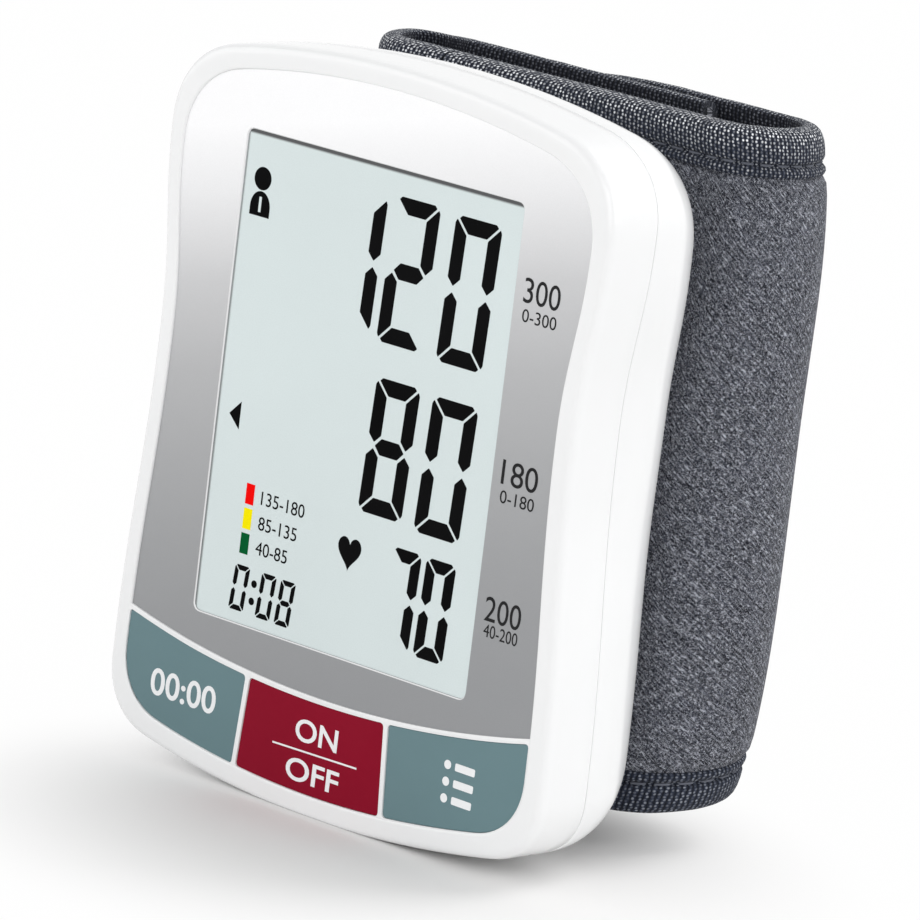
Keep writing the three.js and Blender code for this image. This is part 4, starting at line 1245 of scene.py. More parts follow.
@dataclass
class FacePanel:
    """Thin lacquered plate round the display, with a bevel at its window that is painted bright as a painted
    highlight.
    """

    finishes: Finishes
    window: Triple = (20.6, 18.6, 72.6)
    corner: float = 1.0
    thick: float = 0.5
    bevel: float = 0.12
    rim_gap: float = 0.02
    edge_round: float = 0.06

    def build(self) -> None:
        """Builds the plate."""
        outline = CASE.outline(CASE.rim + self.rim_gap)
        outer = [(x, z) for x, z in outline if z > CASE.arch(x, CASE.panel_lift)]
        start = next(i for i in range(len(outer)) if outer[i - 1][0] < 0 < outer[i][0] and outer[i][1] < 30)
        outer = outer[start:] + outer[:start]
        outer += CASE.arch_line(outer[-1][0], outer[0][0], CASE.panel_lift, 60)
        half, low, high = self.window
        hole = rounded_box(half, low, high, self.corner)
        outer = rounded(outer, self.edge_round)
        plate = Bench.ring("face_plate", [DATUM.at(CASE.squeeze(x), 0, z) for x, z in outer])
        cut = Bench.ring("face_window", [DATUM.at(x, 0, z) for x, z in hole])
        Bench.join(plate, [cut])
        plate.data.materials.append(self.finishes["panel"])
        plate.data.materials.append(self.finishes["edge"])
        Bench.edit(plate)
        bpy.ops.mesh.fill(use_beauty=True)
        bpy.ops.mesh.select_all(action="SELECT")
        bpy.ops.mesh.extrude_region_move(TRANSFORM_OT_translate={"value": (0, self.thick * MM, 0)})
        Bench.done()
        Bench.tidy(plate)
        Bench.edit(plate, everything=False)
        bpy.ops.mesh.select_mode(type="EDGE")
        mesh = bmesh.from_edit_mesh(plate.data)
        front = DATUM.at(0, 0, 0).y
        for edge in mesh.edges:
            middle = (edge.verts[0].co + edge.verts[1].co) / 2
            x, z = middle.x / MM, (middle.z - DATUM.foot) / MM
            inside = abs(x) < half + 0.01 and low - 0.01 < z < high + 0.01
            at_front = all(abs(v.co.y - front) < 1e-6 for v in edge.verts)
            rim = any(abs(face.normal.y) < 0.5 for face in edge.link_faces)
            edge.select_set(inside and at_front and rim)
        bmesh.update_edit_mesh(plate.data)
        bpy.ops.mesh.bevel(offset=self.bevel * MM, segments=1, affect="EDGES")
        # The bevel's faces take the bright finish: a painted highlight on the real bevel.
        plate.active_material_index = 1
        bpy.ops.object.material_slot_assign()
        Bench.done()
        Bench.soften(plate, 25)
        Bench.dress(plate, "case", "panel")
        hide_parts("face_panel")


class Segment(Enum):
    """The seven strokes of a display digit."""

    TOP = 0
    UPPER_RIGHT = 1
    LOWER_RIGHT = 2
    BOTTOM = 3
    LOWER_LEFT = 4
    UPPER_LEFT = 5
    MIDDLE = 6


DIGITS: dict[str, tuple[int, ...]] = {
    "0": (0, 1, 2, 3, 4, 5), "1": (1, 2), "2": (0, 1, 6, 4, 3), "7": (0, 1, 2), "8": (0, 1, 2, 3, 4, 5, 6)}


@dataclass(frozen=True)
class Digit:
    """One digit of the display: where it stands and how large it is."""

    figure: str
    x: float
    z: float
    width: float
    height: float
    stroke: float
    lean: float

    def strokes(self) -> list[list[Point]]:
        """Outlines of the strokes that are on.

        Returns:
            One outline for each stroke.
        """
        return [self.outline(Segment(n)) for n in DIGITS[self.figure]]

    def outline(self, segment: Segment) -> list[Point]:
        """Outline of one stroke, leaning with the digit.

        Args:
            segment: which stroke.

        Returns:
            Its outline.
        """
        w, h, t = self.width, self.height, self.stroke
        m, k, c = h / 2, 0.05 + 0.085 * t, 0.18 * t
        s, gap = t / 2, 0.05 + 0.16 * t
        if segment is Segment.MIDDLE:
            shape = [(s + k, m), (t + k * 0.8, m - s), (w - t - k * 0.8, m - s), (w - s - k, m),
                     (w - t - k * 0.8, m + s), (t + k * 0.8, m + s)]
        elif segment in (Segment.TOP, Segment.BOTTOM):
            shape = [(k + c, h - c), (k + 2.1 * c, h), (w - k - 2.1 * c, h), (w - k - c, h - c),
                     (w - t - k, h - t), (t + k, h - t)]
        else:
            shape = [(0, h - k - 1.9 * c), (0.7 * c, h - k - 0.7 * c), (t, h - t - k), (t, m + s + gap * 0.9),
                     (s, m + gap), (0, m + s + gap * 0.9)]
        if segment in (Segment.BOTTOM, Segment.LOWER_LEFT, Segment.LOWER_RIGHT):
            shape = [(x, h - z) for x, z in shape]
        if segment in (Segment.UPPER_RIGHT, Segment.LOWER_RIGHT):
            shape = [(w - x, z) for x, z in shape]
        shape = [(self.x + x + self.lean * z / h, self.z + z) for x, z in shape]
        return rounded(shape, 0.05 * t, 20, 3)


@dataclass
class Display:
    """Display behind its window, and what shows on it."""

    finishes: Finishes
    plane: float = 0.2
    back: float = 0.8
    margin: float = -0.02
    digits: tuple[Digit, ...] = (
        Digit("1", -5.9, 54.25, 6.4, 14.95, 1.8, 0.52), Digit("2", 1.6, 53.75, 6.6, 16.0, 1.8, 0.55),
        Digit("0", 10.5, 53.5, 6.75, 16.0, 1.8, 0.55),
        Digit("8", 1.85, 35.1, 6.5, 14.85, 1.8, 0.6), Digit("0", 10.25, 34.75, 6.65, 15.0, 1.8, 0.6),
        Digit("7", 7.2, 21.5, 4.35, 10.95, 1.42, 0.42), Digit("0", 12.3, 21.45, 4.35, 11.0, 1.42, 0.42),
        Digit("0", -15.6, 19.95, 2.25, 5.1, 0.58, 0.44), Digit("0", -11.5, 19.9, 2.25, 5.1, 0.58, 0.44),
        Digit("8", -8.55, 19.85, 2.25, 5.1, 0.58, 0.44))
    ink: float = 0.02
    colon: tuple[Triple, ...] = ((-12.1, 23.42, 0.42), (-12.22, 21.45, 0.42))
    pulse: tuple[float, float, float, float] = (1.38, 28.15, 3.45, 3.7)
    arrow: tuple[Point, ...] = ((-18.75, 41.15), (-17.1, 39.65), (-17.1, 42.75))
    head: Triple = (-17.75, 67.45, 1.28)
    trunk: tuple[float, float, float, float] = (-17.75, 63.3, 3.0, 2.75)
    user: tuple[float, float, float, float] = (-17.75, 63.75, 1.7, 0.03)
    bar: Triple = (-14.88, -13.62, 2.3)
    bars: tuple[tuple[str, float, str], ...] = (
        ("upper", 34.18, "red_bar"), ("middle", 31.42, "amber_bar"), ("lower", 28.64, "green_bar"))
    scale_x: float = -12.5
    scale_height: float = 1.5
    scales: tuple[tuple[str, str, float], ...] = (
        ("upper", "135-180", 32.25), ("middle", "85-135", 29.45), ("lower", "40-85", 26.7))

    def build(self) -> None:
        """Builds the screen, the figures and the signs."""
        half, low, high = FacePanel.window
        m = self.margin
        outline = rounded_box(half + m, low - m, high + m, FacePanel.corner)
        screen = Bench.prism("display_screen", outline, self.plane, self.back)
        Bench.soften(screen)
        Bench.dress(screen, "case", "display", self.finishes["display"])
        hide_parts("display_window")
        marks = [outline for digit in self.digits for outline in digit.strokes()]
        marks += [self.disc(*dot) for dot in self.colon]
        marks += [self.heart(*self.pulse), self.arrow]
        marks += [self.disc(*self.head), self.shoulders(*self.trunk)]
        self.print("display_figures", marks, self.finishes["segment"])
        x, z, height, weight = self.user
        Lettering.word("display_user", "1", x, z, height, self.plane - 2 * self.ink, "case", "display",
                       self.finishes["display"], True, 0.0, weight)
        left, right, tall = self.bar
        for place, top, finish in self.bars:
            outline = [(left, top - tall), (right, top - tall), (right, top), (left, top)]
            self.print(f"display_bar_{place}", [outline], self.finishes[finish])
        for place, figures, z in self.scales:
            Lettering.word(f"display_scale_{place}", figures, self.scale_x, z, self.scale_height,
                           self.plane - self.ink, "case", "display", self.finishes["segment"])

    def print(self, name: str, outlines: Sequence[Sequence[Point]], finish: Material) -> None:
        """Lays thin marks on the screen."""
        Lettering.sign(name, outlines, self.plane - self.ink, "case", "display", finish)

    @staticmethod
    def disc(x: float, z: float, radius: float) -> list[Point]:
        """A round mark."""
        return circle(x, z, radius, 28)

    @staticmethod
    def heart(x: float, z: float, width: float, height: float) -> list[Point]:
        """A heart over its lowest point.

        Args:
            x: place of the point across the case.
            z: height of the point.
            width: width of the heart.
            height: its height.

        Returns:
            Its outline.
        """
        points = []
        for i in range(48):
            a = 2 * math.pi * i / 48
            u = 16 * math.sin(a) ** 3
            v = 13 * math.cos(a) - 5 * math.cos(2 * a) - 2 * math.cos(3 * a) - math.cos(4 * a)
            points.append((x + u / 32 * width, z + (v + 17) / 29 * height))
        return points

    @staticmethod
    def shoulders(x: float, z: float, width: float, height: float) -> list[Point]:
        """The lower half of a plain figure sign.

        Args:
            x: its middle.
            z: its foot.
            width: its width.
            height: its height.

        Returns:
            Its outline.
        """
        arc = [(x + width / 2 * math.cos(a), z + height * 0.35 + height * 0.65 * math.sin(a))
               for a in (math.pi * i / 20 for i in range(21))]
        return [(x + width / 2, z), *arc, (x - width / 2, z)]


class Lettering:
    """Plain figures and signs printed on the panel, the display and the keys."""

    THICK = 0.03

    @staticmethod
    def word(name: str, text: str, x: float, z: float, height: float, depth: float, body: str, slot: str,
             finish: Material, centred: bool = False, width: float = 0.0, weight: float = 0.0) -> Object:
        """Prints a line of figures.

        Args:
            name: name of the piece.
            text: the figures.
            x: left edge, or the middle where centred.
            z: foot of the figures.
            height: their height.
            depth: depth of their front.
            body: the body that they ride on.
            slot: the record's slot.
            finish: their finish.
            centred: whether x is the middle.
            width: width to fit, or 0 for the figures' own.
            weight: how much heavier the strokes are, as a share of the height.

        Returns:
            The piece.
        """
        Bench.clear()
        bpy.ops.object.text_add(location=(0, 0, 0))
        obj = bpy.context.object
        obj.data.body = text
        obj.data.size = 1.0
        obj.data.extrude = 0.01
        obj.data.offset = weight
        obj.data.resolution_u = 5
        bpy.ops.object.convert(target="MESH")
        Bench.named(name)
        xs = [v.co.x for v in obj.data.vertices]
        ys = [v.co.y for v in obj.data.vertices]
        scale = height / (max(ys) - min(ys))
        wide = width / (max(xs) - min(xs)) if width else scale
        start = x - (max(xs) - min(xs)) * wide / 2 if centred else x
        for v in obj.data.vertices:
            v.co = DATUM.at(start + (v.co.x - min(xs)) * wide, depth + (0 if v.co.z > 0 else Lettering.THICK),
                            z + (v.co.y - min(ys)) * scale)
        Bench.tidy(obj, merge=1e-7)
        return Bench.dress(obj, body, slot, finish)

    @staticmethod
    def sign(name: str, outlines: Sequence[Sequence[Point]], depth: float, body: str, slot: str,
             finish: Material) -> None:
        """Prints a sign made of outlines."""
        made = [Bench.prism(name, outline, depth, depth + Lettering.THICK) for outline in outlines]
        Bench.dress(Bench.join(made[0], made[1:]), body, slot, finish)


@dataclass
class Keys:
    """The three key caps under the curved rib, and the signs on them."""

    finishes: Finishes
    front: float = -0.14
    back: float = 3.3
    fit: float = 0.03
    corner: float = 0.55
    bevel: float = 0.14
    lift: float = 0.25
    ink: float = 0.025
    words: tuple[tuple, ...] = (
        ("set_figures", "00:00", -20.6, 7.7, 3.1, "set_key", 10.2, 0.014),
        ("start_on", "ON", 0.1, 8.25, 2.55, "start_key", 6.4, 0.015),
        ("start_off", "OFF", 0.1, 3.75, 2.55, "start_key", 8.0, 0.015))
    line: tuple[Point, ...] = ((-6.3, 7.05), (6.5, 7.3), (6.5, 7.5), (-6.3, 7.25))
    list_rows: Triple = (7.6, 9.45, 11.3)
    list_bar: tuple[float, float, float, float] = (22.1, 2.9, 0.85, 0.2)
    list_dot: Point = (19.55, 0.5)
    side_start: float = 25.0
    foot_limit: float = 10.0

    def build(self) -> None:
        """Builds the caps and prints their signs."""
        grey, red, ink = self.finishes["grey_key"], self.finishes["red_key"], self.finishes["ink"]
        for name, body, node, side, finish, slot in (
                ("set_cap", "set_key", "set_button", -1, grey, "grey_key"),
                ("start_cap", "start_key", "start_button", 0, red, "red_key"),
                ("memory_cap", "memory_key", "memory_button", 1, grey, "grey_key")):
            shape = rounded(self.shape(side, self.fit), self.corner)
            shape = [(CASE.squeeze(x), z) for x, z in shape]
            cap = Bench.prism(name, shape, self.front, self.back, self.bevel, 4)
            Bench.soften(cap, 35)
            Bench.dress(cap, body, slot, finish)
            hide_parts(node)
        flat = self.front - self.ink
        for name, sign, x, z, height, body, width, weight in self.words:
            Lettering.word(name, sign, x, z, height, flat, body, "white", ink, True, width, weight)
        Lettering.sign("start_line", [self.line], flat, "start_key", "white", ink)
        bars = []
        x, width, tall, corner = self.list_bar
        dot, radius = self.list_dot
        for z in self.list_rows:
            bars += [rounded_box_at(x, z, width, tall, corner), Display.disc(dot, z, radius)]
        Lettering.sign("memory_list", bars, flat, "memory_key", "white", ink)

    def shape(self, side: int, fit: float) -> list[Point]:
        """Outline of a key cap.

        Args:
            side: -1 for the left-hand key, 0 for the middle one, 1 for the right-hand one.
            fit: gap round the cap.

        Returns:
            The outline.
        """
        gap = FrontShell.rib_half + fit
        lift = self.lift - gap
        lower = [(x, z) for x, z in CASE.outline(CASE.rim + fit) if z < CASE.arch(x, lift)]
        lower.sort(key=lambda p: p[0])
        if side == 0:
            keep = [(x, z) for x, z in lower if abs(x) < CASE.split(z) - gap]
            right = CASE.split(CASE.key_foot[0]) - gap
            left = -right
            base = [(left, self.low(left, lower)), *keep, (right, self.low(right, lower))]
            top = self.reach(right)
            line = CASE.arch_line(top, -top, lift, 30)
            return [(CASE.nudge(x), z) for x, z in base + line]
        right = [(x, z) for x, z in lower if x > CASE.split(z) + gap]
        inner_low = CASE.split(CASE.key_foot[1]) + gap
        inner_top = CASE.split(CASE.key_top) + gap
        outer = max(right, key=lambda p: p[1])
        side_points = [p for p in right if p[1] < outer[1] - 1e-9] + [outer]
        side_points.sort(key=lambda p: (True, p[1]) if p[0] > self.side_start else (False, p[0]))
        line = CASE.arch_line(outer[0] - 0.02, inner_top, lift, 24)
        shape = [(inner_low, self.low(inner_low, lower)), *side_points, *line]
        if side < 0:
            shape = [(-x, z) for x, z in reversed(shape)]
        return [(CASE.nudge(x), z) for x, z in shape]

    @staticmethod
    def low(x: float, line: Sequence[Point]) -> float:
        """Height of the lower edge at a place along it.

        Args:
            x: the place.
            line: points of the edge.

        Returns:
            The height.
        """
        for (ax, az), (bx, bz) in zip(line, line[1:]):
            if ax <= x <= bx and max(az, bz) < Keys.foot_limit:
                return mix(az, bz, (x - ax) / (bx - ax))
        return line[len(line) // 2][1]

    @staticmethod
    def reach(bottom: float) -> float:
        """Half width of the middle key at its top."""
        return bottom - (CASE.split(CASE.key_foot[0]) - CASE.split(CASE.key_top))


@dataclass
class Cuff:
    """Felt cuff: a flattened loop behind the case whose free end laps over its fixed end."""

    finishes: Finishes
    bottom: float = 6.1
    top: float = 80.7
    half: float = 31.2
    draw_in: float = 2.7
    hug: float = 2.0
    drop: float = 1.6
    front: float = 23.3
    lean: float = 3.4
    rear: Point = (42.0, 41.0)
    felt: float = 0.8
    lining: float = 0.6
    lap: float = 3.2
    tab_end: float = 3.79
    left_reach: float = 30.8
    taper: float = 0.085
    strap_end: float = 2.8
    split: float = 1.88
    edge_in: float = 0.7
    groove: float = 3.64
    stations: int = 5
    taper_span: Point = (1.4, 2.2)
    tuck_span: Point = (2.5, 2.78)
    swell_span: Point = (3.7, 6.4)
    full: Triple = (0.2, 0.85, 0.6)
    plies: Point = (1.6, 3.2)
    strap_plies: Point = (-0.55, 0.7)
    cuff_plies: Point = (1.95, 2.3)
    cloth_step: float = 0.9
    cloth_rows: int = 56
    felt_lay: float = 0.12
    ripples: Point = (0.08, 0.1)
    tape_step: float = 0.62
    pucker: Point = (0.14, 0.9)
    hook_run: Point = (3.2, 3.5)
    hook_margin: float = 7.0
    hook_depth: float = 2.0
    hook_sizes: Triple = (0.13, 0.42, 0.3)
    bladder_run: Point = (1.1, 1.95)
    bladder_depth: float = 2.05
    bladder_margin: float = 0.4
    bladder_half: Point = (0.08, 0.24)
    weld_span: Point = (0.5, 5.0)
    thread: tuple[Point, ...] = (
        (-0.5, 0.05), (-0.42, 0.15), (-0.2, 0.19), (0.2, 0.19), (0.42, 0.15), (0.5, 0.05))
    stitch: Point = (1.75, 2.55)
    turn: Point = (31.0, 38.0)
    profile: tuple[Triple, ...] = (
        (5.0, 0, -0.05), (4.97, 0, -0.36), (4.8, 0, -0.62), (4.5, 0, -0.78), (4.2, 0, -0.76),
        (3.95, 0, -0.56), (3.78, 0, -0.26), (3.64, 0, 0.02), (3.5, 0, -0.2), (3.36, 0, -0.56),
        (3.0, 0, -0.72), (2.2, 0, -0.76),
        (1.5, 0, -0.74), (0.9, 0, -0.62), (0.45, 0.01, -0.42), (0.18, 0.06, -0.2), (0.04, 0.2, -0.05),
        (-0.02, 0.38, 0), (-0.03, 0.5, 0), (-0.02, 0.62, 0), (0.04, 0.8, 0.02), (0.18, 0.94, 0.06),
        (0.45, 0.99, 0.12), (0.9, 1, 0.18), (1.8, 1, 0.22), (2.8, 1, 0.22), (3.3, 1, 0.18), (3.64, 1, 0.08),
        (3.95, 1, 0.2), (4.4, 1, 0.24), (4.8, 1, 0.2), (5.0, 1, 0.06), (4.6, 1, 0.02), (1.2, 0.94, 0),
        (0.7, 0.5, 0), (1.2, 0.06, 0), (4.6, 0, -0.02))

    @property
    def middle(self) -> float:
        """Height of the middle of the cuff."""
        return (self.bottom + self.top) / 2

    def size(self, z: float) -> tuple[float, float, float, float, float]:
        """Sizes of the loop at a height.

        Args:
            z: the height.

        Returns:
            Rise, half width, radius, middle and straight length.
        """
        rise = (z - self.bottom) / (self.top - self.bottom)
        front = self.front + self.lean * smooth(rise, 0.5, 1.0)
        rear = mix(*self.rear, rise)
        half = self.half - self.draw_in * (2 * rise - 1) ** 4
        radius = (rear - front) / 2
        return rise, half, radius, (front + rear) / 2, half - radius

    def flat(self, station: float, depth: float, z: float) -> Point:
        """A place on the plain loop.

        Args:
            station: place along the loop, 0 to 5 from its right-hand end, front first.
            depth: distance inwards from its outer face.
            z: height.

        Returns:
            X and Y.
        """
        _, _, radius, middle, straight = self.size(z)
        inner = radius - depth
        if station <= 1:
            turn, x = -math.pi / 2 * station, straight
        elif station <= 2:
            return straight * (3 - 2 * station), middle - inner
        elif station <= 3:
            turn, x = -math.pi / 2 - math.pi * (station - 2), -straight
        elif station <= 4:
            return straight * (2 * station - 7), middle + inner
        else:
            turn, x = math.pi / 2 * (5 - station), straight
        return x + inner * math.cos(turn), middle + inner * math.sin(turn)

    def point(self, run: float, depth: float, z: float) -> Vector:
        """A place on the cuff, in metres.

        Args:
            run: place along the loop; below 0 it goes on round the right-hand end to the back.
            depth: distance inwards from its outer face.
            z: height.

        Returns:
            The point.
        """
        station = run + self.stations if run < 0 else run
        z = self.middle + (z - self.middle) * (1 - self.taper * smooth(-run, *self.taper_span))
        rise, half, radius, middle, _ = self.size(z)
        x, y = self.flat(station, depth, z)
        ox, oy = self.flat(station, 0, z)
        forward = max(0.0, middle - oy) / radius
        back = (middle + radius - oy) / (2 * radius)
        if x < 0:
            x *= 1 + (self.left_reach / half - 1) * smooth(rise, 0.45, 0.95)
        y -= self.hug * (1 - rise) * forward * smooth(abs(ox), 0.55 * half, half)
        return DATUM.at(x, y, z - self.drop * (1 - rise) * back)

    def tuck(self, run: float) -> float:
        """How deep the outer face of the fixed part lies, where it goes under the strap."""
        return self.lap * smooth(run, *self.tuck_span) if run > 0 else 0.0

    def swell(self, z: float) -> float:
        """How much of the fullness shows at a height: none under the hems."""
        return smooth(min(z - self.bottom, self.top - z), *self.swell_span)

    def fullness(self, run: float) -> float:
        """How far the felt stands out between the hems: most round the right-hand end and the back."""
        least, more, span = self.full
        return least + more * smooth(1.0 - run, 0.0, span)

    def inside(self, run: float, strap: bool) -> float:
        """Depth of the inner face of the lining.

        Args:
            run: place along the loop.
            strap: whether it belongs to the half that opens.

        Returns:
            The depth.
        """
        thin, thick = self.plies
        if strap:
            return mix(thin, thick, smooth(run, *self.strap_plies))
        return self.tuck(run) + mix(thick, thin, smooth(run, *self.cuff_plies))

    def runs(self, start: float, end: float, step: float) -> tuple[list[float], list[float]]:
        """Even steps along the loop.

        Args:
            start: first place.
            end: last place.
            step: distance between steps.

        Returns:
            The places, and the distance of each from the first.
        """
        parts = 1200
        fine = spread(start, end, parts)
        spots = [self.point(r, 0, self.middle) / MM for r in fine]
        total = [0.0]
        for a, b in zip(spots, spots[1:]):
            total.append(total[-1] + (b - a).length)
        count = max(2, round(total[-1] / step))
        places, lengths, k = [], [], 0
        for i in range(count + 1):
            want = total[-1] * i / count
            while k < parts - 1 and total[k + 1] < want:
                k += 1
            share = (want - total[k]) / max(1e-9, total[k + 1] - total[k])
            places.append(mix(fine[k], fine[k + 1], share))
            lengths.append(want)
        return places, lengths

    def build(self) -> None:
        """Builds both halves of the cuff."""
        fixed = self.half_cuff("cuff", self.split, self.tab_end, strap=False)
        strap = self.half_cuff("strap", self.split - 0.004, self.strap_end - self.stations, strap=True)
        strap["end"] = self.end_tape()
        self.hooks()
        self.bladder()

    def half_cuff(self, name: str, start: float, end: float, strap: bool) -> dict:
        """Builds the felt, the lining and the two hems of one half.

        Args:
            name: first word of the pieces' names.
            start: first place along the loop.
            end: last place.
            strap: whether it is the half that opens.

        Returns:
            The pieces by their kind, and the flat size of the cloth.
        """
        places, lengths = self.runs(start, end, self.cloth_step)
        parts: dict = {"flat": (lengths[-1] * MM, (self.top - self.bottom - 2 * self.edge_in) * MM)}
        for kind, node in (("felt", "cover"), ("lining", "lining")):
            obj = self.cloth(f"{name}_{kind}", places, lengths, kind == "felt", strap)
            parts[kind] = self.attach(obj, strap, kind, self.finishes[kind])
            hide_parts(f"{name}_{node}")
        for kind, edge, inward in (("top", self.top, -1), ("bottom", self.bottom, 1)):
            obj = self.binding(f"{name}_{kind}_hem", start, end, edge, inward, strap)
            parts[kind] = self.attach(obj, strap, "tape", self.finishes["tape"])
            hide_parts(f"{name}_{kind}_binding")
        return parts

    def attach(self, obj: Object, strap: bool, slot: str, finish: Material) -> Object:
        """Dresses a piece, and lets it ride on the case, or bakes its place where it belongs to the strap.

        Args:
            obj: the piece.
            strap: whether it belongs to the half that opens.
            slot: the record's slot.
            finish: its finish.

        Returns:
            The piece.
        """
        Bench.dress(obj, "" if strap else "case", slot, finish)
        if strap:
            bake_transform(obj)
        return obj

    def cloth(self, name: str, places: Sequence[float], lengths: Sequence[float], outer: bool,
              strap: bool) -> Object:
        """A sheet of felt or lining.

        Args:
            name: name of the piece.
            places: places along the loop.
            lengths: distance of each place from the first.
            outer: whether it is the felt outside, or the lining inside.
            strap: whether it belongs to the half that opens.

        Returns:
            The sheet.
        """
        low, high = self.bottom + self.edge_in, self.top - self.edge_in
        heights = spread(low, high, self.cloth_rows)
        felt_ripple, lining_ripple = self.ripples
        rows = []
        for run, length in zip(places, lengths):
            row = []
            for z in heights:
                swell = self.swell(z)
                ripple = noise.noise(Vector((length * 0.09, z * 0.07, 3.0 if outer else 9.0)))
                if outer:
                    depth = self.tuck(run) + self.felt_lay - self.fullness(run) * swell
                    depth += felt_ripple * ripple * swell
                else:
                    depth = self.inside(run, strap) + lining_ripple * ripple * swell
                row.append(self.point(run, depth, z))
            rows.append(row)
        obj = Bench.grid(name, rows, (lengths, heights))
        thick = (self.felt if outer else self.lining) * MM
        Bench.apply(obj, "SOLIDIFY", thickness=thick, offset=1.0 if outer == strap else -1.0)
        Bench.tidy(obj)
        return Bench.soften(obj, 50)

    def binding(self, name: str, start: float, end: float, edge: float, inward: int, strap: bool) -> Object:
        """A folded hem tape with its stitched groove, and the stitches in it.

        Args:
            name: name of the piece.
            start: first place along the loop.
            end: last place.
            edge: height of the hem's edge.
            inward: 1 where the cloth lies above the edge, -1 where it lies below.
            strap: whether it belongs to the half that opens.

        Returns:
            The tape.
        """
        places, lengths = self.runs(start, end, self.tape_step)
        deep, reach = self.pucker
        rings = []
        for run, length in zip(places, lengths):
            outer, inner = self.tuck(run), self.inside(run, strap)
            pucker = 0.5 + 0.5 * math.cos(2 * math.pi * length / self.stitch[1])
            ring = []
            for h, f, d in self.profile:
                wave = 0.06 * noise.noise(Vector((length * 0.35, h * 0.5, edge)))
                pull = deep * pucker * max(0.0, 1 - abs(h - self.groove) / reach)
                proud = d + (pull + wave) * (1 if d < 0 else -1 if d > 0 else 0)
                ring.append(self.point(run, mix(outer, inner, f) + proud, edge + inward * (h + wave * 0.6)))
            rings.append(ring)
        # Lower hems take the dimmer copy of the tape: painted shade.
        finish = self.finishes["tape" if inward < 0 else "tape_low"]
        tape = self.folded(name, rings, lengths, finish)
        Bench.join(tape, self.stitches(places, lengths, edge + inward * (self.groove - 0.02)))
        return Bench.soften(tape, 60)

    def folded(self, name: str, rings: Sequence[Sequence[Vector]], lengths: Sequence[float],
               finish: Material) -> Object:
        """A tape skinned over rings of its folded section.

        Args:
            name: name of the piece.
            rings: the sections, one after the other.
            lengths: distance of each section from the first.
            finish: finish of its outer face.

        Returns:
            The tape.
        """
        around = [0.0]
        for (h, f, d), (nh, nf, nd) in zip(self.profile, (*self.profile[1:], self.profile[0])):
            around.append(around[-1] + math.hypot(nh - h, (nf - f) * 2.4 + nd - d))
        tape = Bench.grid(name, [[*ring, ring[0]] for ring in rings], (lengths, around))
        # Faces on the inner side of the fold, and the filled ends, take the darker copy of the tape: painted
        # shade for the dark gap between the hems.
        for material in (finish, self.finishes["tape_inside"]):
            tape.data.materials.append(material)
        for face in tape.data.polygons:
            face.material_index = int(self.profile[face.index % len(self.profile)][1] > 0.85)
        Bench.tidy(tape, merge=1e-7, fill=True)
        for face in tape.data.polygons:
            if len(face.vertices) > 4:
                face.material_index = 1
        return tape

    def end_tape(self) -> Object:
        """Tape folded over the strap's free end, over the ends of the two hems.

        Returns:
            The tape.
        """
        end = self.strap_end - self.stations
        unit = (self.point(end + 0.1, 0, self.middle) - self.point(end, 0, self.middle)).length / MM / 0.1
        heights = spread(self.bottom + 0.1, self.top - 0.1, 120)
        rings = []
        for z in heights:
            ring = []
            outer = -max(0.25, self.fullness(end) * self.swell(z))
            for h, f, d in self.profile:
                run = end + (h - 0.4) / unit
                ring.append(self.point(run, mix(outer, self.inside(run, True) + 0.1, f) + 0.7 * d, z))
            rings.append(ring)
        # The end hem takes the dimmer copy of the tape: painted shade.
        tape = self.folded("strap_end_hem", rings, heights, self.finishes["tape_low"])
        return self.attach(Bench.soften(tape, 60), True, "tape", self.finishes["tape"])

    def stitches(self, places: Sequence[float], lengths: Sequence[float], z: float) -> list[Object]:
        """Threads along a stitched groove, one modelled and the rest copied and bent to the loop.

        Args:
            places: places along the loop.
            lengths: distance of each place from the first.
            z: height of the groove.

        Returns:
            The threads.
        """
        long, pitch = self.stitch
        rings = []
        for along, thick in self.thread:
            dip = 0.16 * (2 * along) ** 2
            rings.append([Vector((along * long, dip + thick * math.cos(a), 0.8 * thick * math.sin(a)))
                          for a in (math.pi * i / 3 for i in range(6))])
        model = Bench.tube("hem_stitch", rings)
        model.data.materials.append(self.finishes["thread"])
        made = []
        for n in range(int(lengths[-1] / pitch)):
            middle = (n + 0.5) * pitch
            twin = Bench.copy(model, "hem_stitch")
            for vertex in twin.data.vertices:
                at = middle + vertex.co.x
                k = min(len(lengths) - 2, max(0, int(at / lengths[-1] * (len(lengths) - 1))))
                run = mix(places[k], places[k + 1], (at - lengths[k]) / (lengths[k + 1] - lengths[k]))
                vertex.co = self.point(run, self.tuck(run) - 0.3 + vertex.co.y, z + vertex.co.z)
            made.append(Bench.tidy(twin))
        bpy.data.objects.remove(model)
        return made

    def hooks(self) -> None:
        """Hook patch on the inside of the strap's end: a plate with rows of small hooks."""
        inset, tall, thick = self.hook_sizes
        places, lengths = self.runs(*(run - self.stations for run in self.hook_run), 0.55)
        heights = spread(self.bottom + self.hook_margin, self.top - self.hook_margin, 100)
        rows = [[self.point(run, self.hook_depth, z) for z in heights] for run in places]
        obj = Bench.grid("hook_patch_face", rows, (lengths, heights))
        Bench.edit(obj, everything=False)
        bpy.ops.mesh.select_mode(type="FACE")
        mesh = bmesh.from_edit_mesh(obj.data)
        mesh.faces.ensure_lookup_table()
        wide = len(heights) - 1
        for face in mesh.faces:
            row, column = divmod(face.index, wide)
            face.select_set(row % 2 == 1 and column % 2 == 1)
        bmesh.update_edit_mesh(obj.data)
        bpy.ops.mesh.inset(thickness=inset * MM, use_individual=True)
        bpy.ops.mesh.extrude_faces_move(TRANSFORM_OT_shrink_fatten={"value": tall * MM})
        Bench.done()
        Bench.apply(obj, "SOLIDIFY", thickness=thick * MM, offset=-1.0)
        Bench.tidy(obj)
        Bench.dress(obj, "strap", "hook", self.finishes["hook"])
        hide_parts("hook_patch")

